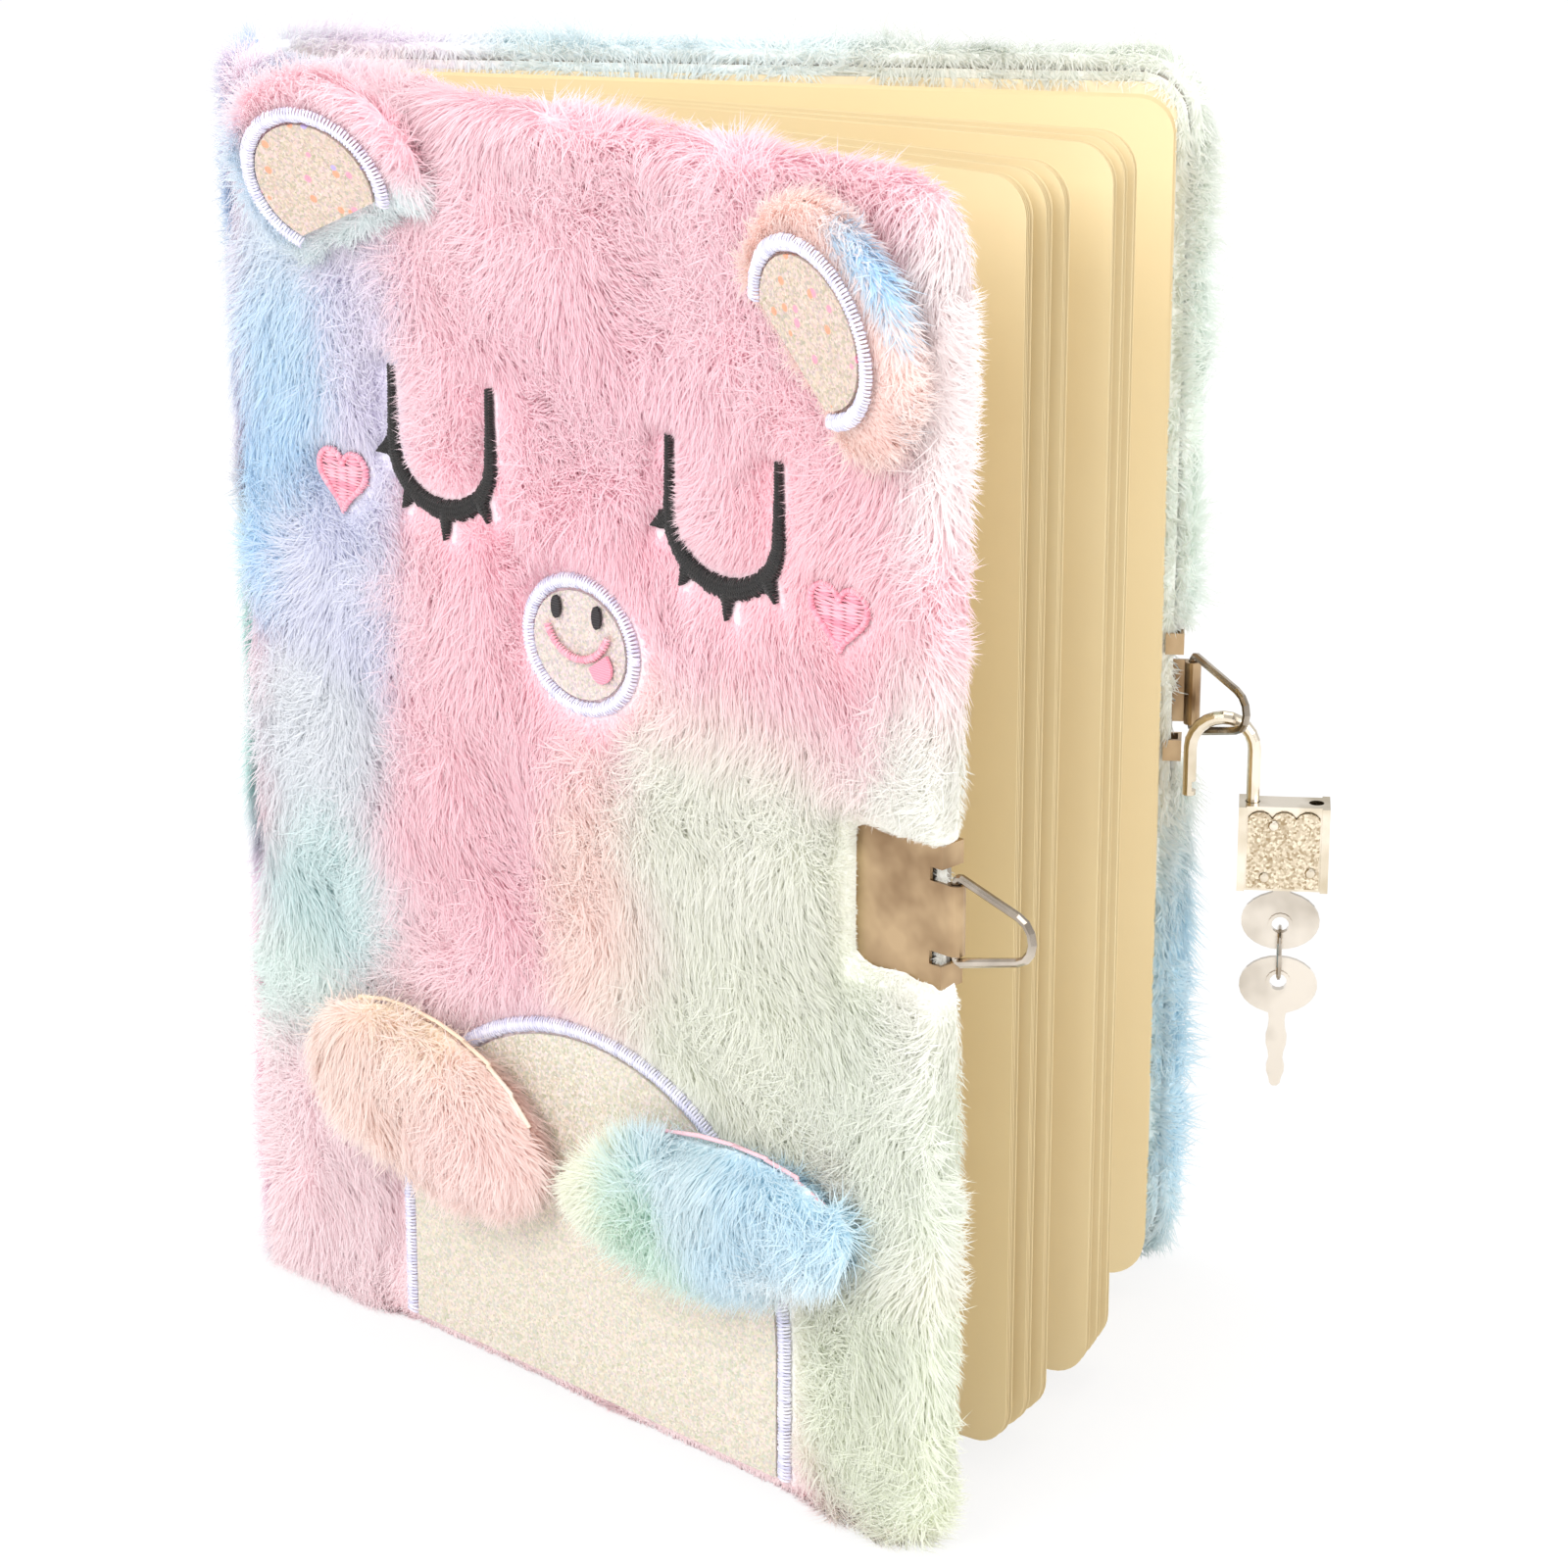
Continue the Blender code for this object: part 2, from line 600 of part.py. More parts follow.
front_loop_pivot = empty("front_loop_pivot", (BARREL_U, BARREL_D, LOCK_Z), parent=cover)
hasp_loop("front_loop", front_loop_pivot)
BACK_BARREL = Vector((HINGE_X + BARREL_U, BACK_OUTER - BARREL_D, LOCK_Z))
back_loop_pivot = empty("back_loop_pivot", BACK_BARREL, Matrix.Rotation(-BACK_LOOP_TURN, 4, "Z"))
hasp_loop("back_loop", back_loop_pivot)


# Face and belly, sewn on the front cover
def on_cover(name, outline, foot, height, surface, parent=None, rounding=0.0):
    """A flat piece lying this far above the plush of the front cover."""
    near, far = -(foot + height), -foot
    return prism(name, outline, near, far, surface, parent or cover, rounding=rounding)


def stitching(name, path, closed, foot, parent=None):
    """A satin stitched border, raised like a cord."""
    return wire(name, path, domed_section(STITCH_WIDTH, STITCH_HEIGHT), closed,
                lambda a, b, out: (a, -(foot + out), b), WHITE_THREAD, parent or cover)


def eye_line(t):
    """The closed eye: down one side, round the bottom and up the other, t from 0 to 1."""
    side = EYE_TOP - EYE_BEND
    bottom = math.pi * (EYE_HALF_WIDTH + EYE_BEND - EYE_BOTTOM) / 2
    length = t * (2 * side + bottom)
    if length < side:
        return -EYE_HALF_WIDTH, EYE_TOP - length, 180.0
    if length > side + bottom:
        return EYE_HALF_WIDTH, EYE_BEND + length - side - bottom, 360.0
    angle = 180 + 180 * (length - side) / bottom
    a = math.radians(angle)
    return (EYE_HALF_WIDTH * math.cos(a),
            EYE_BEND + (EYE_BEND - EYE_BOTTOM) * math.sin(a), angle)


def eye(centre):
    """The outer and the inner side of a closed eye's line, which is thicker below and has
    lashes."""
    outer, inner = [], []
    steps = 36
    waiting = list(LASHES)
    for k in range(steps + 1):
        x, z, angle = eye_line(k / steps)
        a = math.radians(angle)
        away = Vector((math.cos(a), math.sin(a)))
        half = (EYE_STROKE + EYE_STROKE_EXTRA * max(0.0, -math.sin(a))) / 2
        spot = Vector((centre + x, z))
        inner.append(tuple(spot - away * half))
        if waiting and angle >= waiting[0][0]:
            length = waiting.pop(0)[1]
            side = Vector((-away.y, away.x))
            lash = Vector((away.x * LASH_SPREAD, away.y - LASH_FALL)).normalized()
            root, tip = spot + away * half, spot + away * half + lash * length
            outer += [tuple(root + side * -LASH_WIDTH / 2), tuple(tip + side * -LASH_TIP / 2),
                      tuple(tip + side * LASH_TIP / 2), tuple(root + side * LASH_WIDTH / 2)]
        else:
            outer.append(tuple(spot + away * half))
    return outer, inner


def sewn_eye(name, centre):
    outer, inner = eye(centre)
    return on_cover(name, outer + inner[::-1], GAP, EYE_HEIGHT, BLACK_THREAD)


def heart(name, centre):
    """A heart: two round lobes over a point."""
    outline = []
    for k in range(24):
        t = 2 * math.pi * k / 24
        x = math.sin(t) ** 3
        z = (13 * math.cos(t) - 5 * math.cos(2 * t) - 2 * math.cos(3 * t) - math.cos(4 * t)) / 16
        outline.append((centre + HEART_WIDTH / 2 * x, HEART_Z + HEART_HEIGHT / 2 * z))
    return on_cover(name, outline, GAP, HEART_RISE, PINK_THREAD)


def belly_line():
    """From the tail edge up the left side, over the arch and down again."""
    points = [(FACE_U - BELLY_HALF_WIDTH, BELLY_FOOT)]
    for k in range(25):
        angle = math.radians(180 - 180 * k / 24)
        points.append((FACE_U + BELLY_HALF_WIDTH * math.cos(angle),
                       BELLY_STRAIGHT + (BELLY_TOP - BELLY_STRAIGHT) * math.sin(angle)))
    return points + [(FACE_U + BELLY_HALF_WIDTH, BELLY_FOOT)]


sewn_eye("left_eye", FACE_U - EYE_SPACING / 2)
sewn_eye("right_eye", FACE_U + EYE_SPACING / 2)
heart("left_heart", FACE_U - HEART_SPACING / 2)
heart("right_heart", FACE_U + HEART_SPACING / 2)

NOSE = (FACE_U, NOSE_Z)
on_cover("nose_patch", ellipse(NOSE, NOSE_HALF_WIDTH - STITCH_WIDTH / 2 - GAP,
                               NOSE_HALF_HEIGHT - STITCH_WIDTH / 2 - GAP, 28),
         GAP, PATCH_THICK, GLITTER)
stitching("nose_stitching", ellipse(NOSE, NOSE_HALF_WIDTH, NOSE_HALF_HEIGHT, 32), True, GAP)
ON_PATCH = GAP + PATCH_THICK + GAP
for side, label in ((-1, "left"), (1, "right")):
    spot = (NOSE[0] + side * NOSTRIL_SPACING / 2, NOSE_Z + NOSTRIL_RISE)
    on_cover(label + "_nostril", ellipse(spot, NOSTRIL_HALF_WIDTH, NOSTRIL_HALF_HEIGHT, 12),
             ON_PATCH, MARK_HEIGHT, BLACK_THREAD)
SMILE_CENTRE = (FACE_U, NOSE_Z + SMILE_RADIUS - SMILE_DROP)


def smile():
    path = []
    for k in range(13):
        angle = math.radians(200 + 140 * k / 12)
        path.append((SMILE_CENTRE[0] + SMILE_RADIUS * math.cos(angle),
                     SMILE_CENTRE[1] + SMILE_RADIUS * math.sin(angle)))
    return wire("smile", path, domed_section(SMILE_STROKE, MARK_HEIGHT), False,
                lambda a, b, out: (a, -(ON_PATCH + out), b), PINK_THREAD, cover)


smile()


def tongue():
    """A small tongue below the right half of the smile, turned along it."""
    angle = math.radians(305)
    away = Vector((math.cos(angle), math.sin(angle)))
    centre = Vector(SMILE_CENTRE)
    side = Vector((-away.y, away.x))
    root = centre + away * (SMILE_RADIUS + SMILE_STROKE / 2 + GAP)
    outline = [tuple(root - side * TONGUE_HALF_WIDTH), tuple(root + side * TONGUE_HALF_WIDTH)]
    middle = root + away * (TONGUE_LENGTH - TONGUE_HALF_WIDTH) * 0.5
    for k in range(9):
        a = math.pi * k / 8
        spot = (middle + side * TONGUE_HALF_WIDTH * math.cos(a)
                + away * TONGUE_HALF_WIDTH * 0.9 * math.sin(a))
        outline.append(tuple(spot))
    return on_cover("tongue", outline, ON_PATCH, MARK_HEIGHT, PINK_THREAD)


tongue()

BELLY_PATH = belly_line()
BORDER_ROOM = STITCH_WIDTH / 2 + GAP
BELLY_NARROW = 1 - BORDER_ROOM / BELLY_HALF_WIDTH
BELLY_LOWER = 1 - BORDER_ROOM / (BELLY_TOP - BELLY_FOOT)
BELLY_INSIDE = [(FACE_U + (x - FACE_U) * BELLY_NARROW,
                 BELLY_FOOT + (z - BELLY_FOOT) * BELLY_LOWER) for x, z in BELLY_PATH]
on_cover("belly_patch", BELLY_INSIDE, GAP, PATCH_THICK, GLITTER)
stitching("belly_stitching", BELLY_PATH, False, GAP)


# Stuffed flaps
def pad(name, outline, centre, thick, surface, parent, fullness):
    """A stuffed flap: it swells from its seam to its middle on both sides. A higher fullness
    makes it flatter in the middle and rounder at the seam. It lies from y = 0 to -thick."""
    bm = bmesh.new()

    def ring(share, side):
        swell = thick / 2 * (1 - share**fullness) ** (1 / fullness)
        y = -thick / 2 - side * swell
        return lathe_ring(bm, [(centre[0] + (x - centre[0]) * share, y,
                                centre[1] + (z - centre[1]) * share) for x, z in outline])

    seam = ring(1.0, 1)
    for side in (1, -1):
        rings = [seam] + [ring(share, side) for share in PAD_RINGS]
        for low, high in zip(rings, rings[1:]):
            for i in range(len(low)):
                j = (i + 1) % len(low)
                bm.faces.new((low[i], low[j], high[j], high[i]))
        top = bm.verts.new((centre[0], -thick / 2 - side * thick / 2, centre[1]))
        last = rings[-1]
        for i in range(len(last)):
            bm.faces.new((last[i], last[(i + 1) % len(last)], top))
    return finish(name, bm, surface, parent)


def ear_outline(scale, chord, steps=24):
    """An ellipse cut off by the seam at its root. The ear stands along +Z from the seam."""
    start = math.asin(-chord / EAR_HALF_LENGTH)
    points = []
    for k in range(steps + 1):
        angle = start + (math.pi - 2 * start) * k / steps
        points.append((scale * EAR_HALF_WIDTH * math.cos(angle),
                       scale * (chord + EAR_HALF_LENGTH * math.sin(angle))))
    return points


def ear(side, root, lean, lift, surface):
    """One ear with its patch and border, on a frame whose X is the seam at its root."""
    turn = Matrix.Rotation(-lean, 4, "Y") @ Matrix.Rotation(lift, 4, "X")
    pivot = empty(side + "_ear_pivot", (root[0], 0, root[1]), turn, cover)
    outline = ear_outline(1.0, EAR_CHORD)
    middle = EAR_CHORD + EAR_HALF_LENGTH
    flap = pad(side + "_ear", outline, (0, middle / 2), EAR_THICK, surface, pivot, 4)
    deepest = max((turn @ vertex.co).y for vertex in flap.data.vertices)
    pivot.location.y = -GAP - deepest
    patch = ear_outline(EAR_PATCH_SCALE, EAR_CHORD)
    rise = (1 - EAR_PATCH_SCALE) * EAR_CHORD + EAR_PATCH_STEP
    patch = [(x, z + rise) for x, z in patch]
    foot = EAR_THICK + GAP
    shrink = 1 - (STITCH_WIDTH / 2 + GAP) / (EAR_PATCH_SCALE * EAR_HALF_LENGTH)
    patch_middle = rise + EAR_PATCH_SCALE * EAR_CHORD
    inside = [(x * shrink, patch_middle + (z - patch_middle) * shrink) for x, z in patch]
    on_cover(side + "_ear_patch", inside, foot, PATCH_THICK, GLITTER, pivot)
    stitching(side + "_ear_stitching", patch, False, foot, pivot)
    return pivot


ear("left", (LEFT_EAR_FROM_SPINE, COVER_HEIGHT - LEFT_EAR_BELOW_TOP), LEFT_EAR_LEAN,
    LEFT_EAR_LIFT, PINK_PLUSH)
ear("right", (FORE_U - RIGHT_EAR_FROM_EDGE, COVER_HEIGHT - RIGHT_EAR_BELOW_TOP),
    RIGHT_EAR_LEAN, RIGHT_EAR_LIFT, PEACH_PLUSH)


def arm(side, end, height, half_length, half_width, tilt, surface):
    """One arm, sewn on at its outer end and lying over the belly patch. Its frame is on the
    seam, with X along the cover."""
    foot = GAP + STITCH_HEIGHT + GAP
    pivot = empty(side + "_arm_pivot", (end, -foot, height), None, cover)
    inward = 1 if side == "left" else -1
    reach = half_length * math.cos(tilt)
    centre = (inward * reach, half_length * math.sin(tilt))
    outline = ellipse(centre, half_length, half_width, 28, inward * tilt)
    return pad(side + "_arm", outline, centre, ARM_THICK, surface, pivot, 2.6)


# Both arms share the width between their outer ends.
ARM_REACH = (FORE_U - LEFT_ARM_END - RIGHT_ARM_END) / 2
arm("left", LEFT_ARM_END, LEFT_ARM_Z, LEFT_ARM_SHARE * ARM_REACH, LEFT_ARM_HALF_WIDTH,
    LEFT_ARM_TILT, PEACH_PLUSH)
arm("right", FORE_U - RIGHT_ARM_END, RIGHT_ARM_Z, RIGHT_ARM_SHARE * ARM_REACH,
    RIGHT_ARM_HALF_WIDTH, RIGHT_ARM_TILT, BLUE_PLUSH)


# Padlock. It is made in its own frame: the origin in the middle of the case's foot, +Z up,
# the front at -Y. It hangs open, with its toe turned away from the case.
HEEL_X = -SHACKLE_HALF_SPAN
TOE_OPEN_X = HEEL_X - 2 * SHACKLE_HALF_SPAN
ARCH_X = HEEL_X - SHACKLE_HALF_SPAN
TOE_FOOT = CASE_HEIGHT + TOE_LIFT
ARCH_Z = TOE_FOOT + TOE_LENGTH
HEEL_FOOT = CASE_HEIGHT - HEEL_DEPTH
BORE_RADIUS = SHACKLE_WIRE + WIRE_PLAY


def shackle_path():
    path = [(HEEL_X, HEEL_FOOT), (HEEL_X, ARCH_Z)]
    for k in range(1, 12):
        angle = math.pi * k / 12
        path.append((ARCH_X + SHACKLE_HALF_SPAN * math.cos(angle),
                     ARCH_Z + SHACKLE_HALF_SPAN * math.sin(angle)))
    return path + [(TOE_OPEN_X, ARCH_Z), (TOE_OPEN_X, TOE_FOOT)]


def distance_to_line(point, start, end):
    along = end - start
    share = max(0.0, min(1.0, (point - start).dot(along) / along.length_squared))
    return (point - start - along * share).length


def hang():
    """Where the arch's centre goes so that the arch rests on the lower arm of the back loop:
    below the arm's point at the padlock's depth, with a gap between the two wires."""
    turn = Matrix.Rotation(-BACK_LOOP_TURN, 4, "Z")
    loop = [BACK_BARREL + turn @ Vector((a, 0, b)) for a, b in loop_path()]
    outer, inner = loop[-5], loop[-4]
    depth = BACK_BARREL.y - PADLOCK_OUT
    seat = inner.lerp(outer, (depth - inner.y) / (outer.y - inner.y))
    least = LOOP_WIRE + SHACKLE_WIRE + GAP
    height = seat.z - SHACKLE_HALF_SPAN + least
    while True:
        place = Vector((seat.x, depth, height))
        near = min(distance_to_line(place + Vector((SHACKLE_HALF_SPAN * math.cos(a), 0,
                                                    SHACKLE_HALF_SPAN * math.sin(a))),
                                    inner, outer)
                   for a in [math.pi * k / 48 for k in range(49)])
        if near >= least:
            return seat, place
        height += GAP / 10


SEAT, ARCH_PLACE = hang()
PADLOCK_PLACE = ARCH_PLACE - Vector((ARCH_X, 0, ARCH_Z))
empty("padlock_swing_pivot", SEAT)
padlock = empty("padlock_pivot", PADLOCK_PLACE)
bpy.context.view_layer.update()


def padlock_case():
    """The case: two side rails and sunk faces, with a bore for each leg of the shackle, a
    bore for the plug, a well for the key's blade and a channel for the latch."""
    half = CASE_WIDTH / 2
    inner = half - RAIL_WIDTH
    profile = [(-half, -CASE_HALF_THICK), (-inner, -CASE_HALF_THICK), (-inner, -FACE_HALF_THICK),
               (inner, -FACE_HALF_THICK), (inner, -CASE_HALF_THICK), (half, -CASE_HALF_THICK),
               (half, CASE_HALF_THICK), (inner, CASE_HALF_THICK), (inner, FACE_HALF_THICK),
               (-inner, FACE_HALF_THICK), (-inner, CASE_HALF_THICK), (-half, CASE_HALF_THICK)]
    case = prism("padlock_case", profile, 0, CASE_HEIGHT, CHAMPAGNE, padlock, "Z")
    top = CASE_HEIGHT + GAP
    latch_top = LATCH_FOOT + LATCH_THICK + WIRE_PLAY
    cuts = [
        cylinder("heel_bore", (HEEL_X, 0), BORE_RADIUS, HEEL_BORE_FOOT, top, 14,
                 parent=padlock, along="Z"),
        cylinder("toe_bore", (-HEEL_X, 0), BORE_RADIUS, CASE_HEIGHT - TOE_BORE_DEPTH, top, 14,
                 parent=padlock, along="Z"),
        cylinder("plug_bore", (0, 0), PLUG_RADIUS + WIRE_PLAY, -GAP, PLUG_HEIGHT + GAP, 18,
                 parent=padlock, along="Z"),
        cylinder("blade_well", (0, 0), BLADE_WELL_RADIUS, PLUG_HEIGHT, BLADE_WELL_TOP, 16,
                 parent=padlock, along="Z"),
        box("latch_channel", (0, -LATCH_DEPTH / 2 - WIRE_PLAY, LATCH_FOOT - WIRE_PLAY),
            (-HEEL_X, LATCH_DEPTH / 2 + WIRE_PLAY, latch_top), parent=padlock),
    ]
    for x, z in RIVETS:
        cuts.append(cylinder("rivet_hole", (x, z), RIVET_SHANK + WIRE_PLAY,
                             -CASE_HALF_THICK, -FACE_HALF_THICK + RIVET_DEPTH, 10,
                             parent=padlock))
    bpy.context.view_layer.update()
    return shape(case, cuts, "DIFFERENCE")


def panel(name, side, holes):
    """A pressed panel between the rails, its top edge in three scallops."""
    half = CASE_WIDTH / 2 - RAIL_WIDTH - GAP
    foot, top = PANEL_FOOT, PANEL_FOOT + PANEL_HEIGHT
    outline = [(-half, foot), (half, foot)]
    scallop = 2 * half / 3
    radius = scallop / 2 / math.cos(math.radians(30))
    for lobe in (1, 0, -1):
        for k in range(6):
            angle = math.radians(30 + 120 * k / 5)
            outline.append((lobe * scallop + radius * math.cos(angle),
                            top - radius * (1 - math.sin(angle))))
    near, far = sorted((side * (FACE_HALF_THICK + GAP),
                        side * (FACE_HALF_THICK + GAP + PANEL_THICK)))
    plate = prism(name, clean(outline), near, far, CHAMPAGNE, padlock)
    if not holes:
        return plate
    cuts = [cylinder("panel_hole", (x, z), RIVET_SHANK + WIRE_PLAY, near - GAP, far + GAP, 10,
                     parent=padlock) for x, z in RIVETS]
    bpy.context.view_layer.update()
    return shape(plate, cuts, "DIFFERENCE")


def clean(outline):
    """The outline without corners that fall on their neighbour."""
    kept = []
    for point in outline:
        if not kept or (Vector(point) - Vector(kept[-1])).length > GAP / 10:
            kept.append(point)
    return kept


def rivet(number, x, z):
    """A rivet: a shank through the panel into the case, and a low round head."""
    face = FACE_HALF_THICK + GAP + PANEL_THICK + WIRE_PLAY
    sections = [(RIVET_SHANK, -FACE_HALF_THICK + RIVET_DEPTH - WIRE_PLAY), (RIVET_SHANK, -face),
                (RIVET_HEAD, -face), (RIVET_HEAD * 0.8, -face - RIVET_RISE * 0.8),
                (RIVET_HEAD * 0.4, -face - RIVET_RISE)]
    bm = bmesh.new()
    rings = []
    for radius, y in sections:
        rings.append(lathe_ring(bm, [(a, y, b) for a, b in ellipse((x, z), radius, radius, 10)]))
    skin(bm, rings, False)
    return finish("padlock_rivet_%d" % number, bm, CHAMPAGNE, padlock)


def shackle():
    """The bent rod, with the notch for the latch near its toe."""
    rod = wire("shackle", shackle_path(), round_section(SHACKLE_WIRE, 12), False,
               lambda a, b, out: (a, out, b), CHAMPAGNE, padlock)
    notch_foot = LATCH_FOOT - WIRE_PLAY + SHACKLE_TRAVEL
    inner = TOE_OPEN_X + SHACKLE_WIRE
    notch = box("toe_notch", (inner - NOTCH_IN_TOE, -SHACKLE_WIRE - GAP, notch_foot),
                (inner + GAP, SHACKLE_WIRE + GAP, notch_foot + LATCH_THICK + 2 * WIRE_PLAY),
                parent=padlock)
    bpy.context.view_layer.update()
    return shape(rod, [notch], "DIFFERENCE")


def plug():
    """The turning plug, with the keyway right through it."""
    core = cylinder("padlock_plug", (0, 0), PLUG_RADIUS, 0, PLUG_HEIGHT, 24, SPRING_STEEL,
                    padlock, "Z")
    slot = box("keyway", (-KEYWAY_WIDTH / 2, -KEYWAY_THICK / 2, -GAP),
               (KEYWAY_WIDTH / 2, KEYWAY_THICK / 2, PLUG_HEIGHT + GAP), parent=padlock)
    bpy.context.view_layer.update()
    return shape(core, [slot], "DIFFERENCE")


SEAT_TOP = HEEL_FOOT - GAP
SPRING_FOOT = HEEL_BORE_FOOT + GAP / 2
SPRING_TOP = SEAT_TOP - SEAT_THICK - GAP / 2


def spring():
    """The coil under the heel, open as it lies with the padlock unlocked."""
    radius = BORE_RADIUS - GAP - SPRING_WIRE
    low, high = SPRING_FOOT + SPRING_WIRE, SPRING_TOP - SPRING_WIRE
    bm = bmesh.new()
    rings = []
    steps = 9 * SPRING_TURNS
    for k in range(steps + 1):
        angle = 2 * math.pi * k / 9
        middle = low + (high - low) * k / steps
        corners = []
        for s, t in round_section(SPRING_WIRE, 5):
            reach = radius + s
            corners.append((HEEL_X + reach * math.cos(angle), reach * math.sin(angle),
                            middle + t))
        rings.append(lathe_ring(bm, corners))
    skin(bm, rings, False)
    return finish("shackle_spring", bm, SPRING_STEEL, padlock)


padlock_case()
panel("padlock_front_panel", -1, True)
panel("padlock_back_panel", 1, False)
for count, (rivet_x, rivet_z) in enumerate(RIVETS, 1):
    rivet(count, rivet_x, rivet_z)
shackle()
plug()
cylinder("spring_seat", (HEEL_X, 0), BORE_RADIUS - GAP / 2, SEAT_TOP - SEAT_THICK, SEAT_TOP, 12,
         SPRING_STEEL, padlock, "Z")
spring()
LATCH_TIP = -HEEL_X - BORE_RADIUS + LATCH_BITE
box("latch", (LATCH_TIP - LATCH_LENGTH, -LATCH_DEPTH / 2, LATCH_FOOT),
    (LATCH_TIP, LATCH_DEPTH / 2, LATCH_FOOT + LATCH_THICK), SPRING_STEEL, padlock)


# Keys and ring
def key(name, place, upside):
    """A flat stamped key: an oval bow with a collared hole and a blade with wavy edges. The
    frame is at the shoulder, with the blade along +Z before it is turned."""
    turn = Matrix.Rotation(math.pi, 4, "Y") if upside else None
    pivot = empty(name + "_pivot", place, turn, padlock)
    outline = []
    for share, half in BLADE_WAVE:
        outline.append((half, share * BLADE_LENGTH))
    outline.append((BLADE_TIP, BLADE_LENGTH))
    outline.append((-BLADE_TIP, BLADE_LENGTH))
    for share, half in reversed(BLADE_WAVE):
        outline.append((-half, share * BLADE_LENGTH))
    for k in range(1, 24):
        angle = math.radians(90 + 18 + 324 * k / 24)
        outline.append((BOW_HALF_WIDTH * math.cos(angle),
                        -BOW_HEIGHT / 2 + BOW_HEIGHT / 2 * math.sin(angle)))
    body = prism(name, outline, -KEY_THICK / 2, KEY_THICK / 2, CHAMPAGNE, pivot)
    thick = KEY_THICK / 2 + BOW_COLLAR_RISE
    collar = cylinder(name + "_collar", (0, -BOW_HOLE_DROP), BOW_COLLAR_RADIUS, -thick, thick, 16,
                      parent=pivot)
    hole = cylinder(name + "_hole", (0, -BOW_HOLE_DROP), BOW_HOLE_RADIUS, -thick - GAP,
                    thick + GAP, 14, parent=pivot)
    bpy.context.view_layer.update()
    shape(body, [collar], "UNION")
    return shape(body, [hole], "DIFFERENCE")


UPPER_WIRE = -KEY_SHOULDER - BOW_HOLE_DROP - BOW_HOLE_RADIUS + RING_WIRE + GAP
LOWER_WIRE = UPPER_WIRE - 2 * RING_RADIUS
LOWER_SHOULDER = LOWER_WIRE + RING_WIRE + GAP - BOW_HOLE_RADIUS - BOW_HOLE_DROP
key("key_1", (0, 0, -KEY_SHOULDER), False)
key("key_2", (0, 0, LOWER_SHOULDER), True)
ring_pivot = empty("key_ring_pivot", (0, 0, UPPER_WIRE), None, padlock)
wire("key_ring", ellipse((0, -RING_RADIUS), RING_RADIUS, RING_RADIUS, 28),
     round_section(RING_WIRE, 6), True, lambda a, b, out: (out, a, b), BRIGHT_STEEL, ring_pivot)

bpy.context.view_layer.update()
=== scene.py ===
"""The looks of the plush secret diary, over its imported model. One section for each piece, in
the order in which the diary is put together. Metres, +Z up."""

import json
import math

import bmesh
import bpy
import numpy as np
from mathutils import Matrix, Vector


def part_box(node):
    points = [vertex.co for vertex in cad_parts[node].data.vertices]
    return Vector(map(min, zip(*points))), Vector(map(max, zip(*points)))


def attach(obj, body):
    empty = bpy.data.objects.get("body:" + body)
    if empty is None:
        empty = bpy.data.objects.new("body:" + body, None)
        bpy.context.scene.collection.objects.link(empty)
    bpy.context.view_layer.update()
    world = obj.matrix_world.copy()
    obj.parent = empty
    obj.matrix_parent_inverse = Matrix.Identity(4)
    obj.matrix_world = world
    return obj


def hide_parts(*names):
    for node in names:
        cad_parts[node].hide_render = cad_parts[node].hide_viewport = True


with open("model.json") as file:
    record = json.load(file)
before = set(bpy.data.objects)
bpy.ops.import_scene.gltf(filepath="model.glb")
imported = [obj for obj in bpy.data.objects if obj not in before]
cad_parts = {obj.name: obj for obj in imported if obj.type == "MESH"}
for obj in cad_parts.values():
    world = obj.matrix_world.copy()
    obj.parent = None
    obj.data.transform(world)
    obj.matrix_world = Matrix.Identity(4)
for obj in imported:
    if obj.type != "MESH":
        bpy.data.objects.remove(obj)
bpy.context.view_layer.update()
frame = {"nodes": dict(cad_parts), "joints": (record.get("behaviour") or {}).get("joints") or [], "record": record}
joints = {joint["name"]: joint for joint in frame["joints"]}


# Camera and room
# The camera stands where the photograph was taken from, in front of the fore edge and a little
# above the diary. The room is a pale floor under soft, even light, as in a packshot.
def linear(hex_colour):
    """An sRGB hex colour as Blender's linear colour."""
    channels = [int(hex_colour[i : i + 2], 16) / 255 for i in (0, 2, 4)]
    return (*[c / 12.92 if c <= 0.04045 else ((c + 0.055) / 1.055) ** 2.4 for c in channels], 1)


def wire(tree, node, inputs):
    """Gives each input of a node a value, or another node's output."""
    for key, value in inputs.items():
        socket = node.inputs[key]
        if isinstance(value, bpy.types.NodeSocket):
            tree.links.new(value, socket)
        else:
            socket.default_value = value


def add(tree, kind, inputs=None, **settings):
    """Adds a node with its settings, values and links."""
    made = tree.nodes.new(kind)
    for name, value in settings.items():
        setattr(made, name, value)
    wire(tree, made, inputs or {})
    return made


def number(tree, operation, *values):
    """The result of a sum on numbers."""
    return add(tree, "ShaderNodeMath", dict(enumerate(values)), operation=operation).outputs[0]


def ranged(tree, value, to_min, to_max, from_min=0.0, from_max=1.0, **settings):
    """A number carried over from one range to another."""
    return add(tree, "ShaderNodeMapRange",
               {"Value": value, "From Min": from_min, "From Max": from_max,
                "To Min": to_min, "To Max": to_max}, **settings).outputs[0]


def finish_named(name):
    """A new material, its tree and its shader."""
    made = bpy.data.materials.new(name)
    made.use_nodes = True
    return made, made.node_tree, made.node_tree.nodes["Principled BSDF"]


def show(tree, shader_output):
    """This output is what the material looks like."""
    tree.links.new(shader_output, tree.nodes["Material Output"].inputs["Surface"])


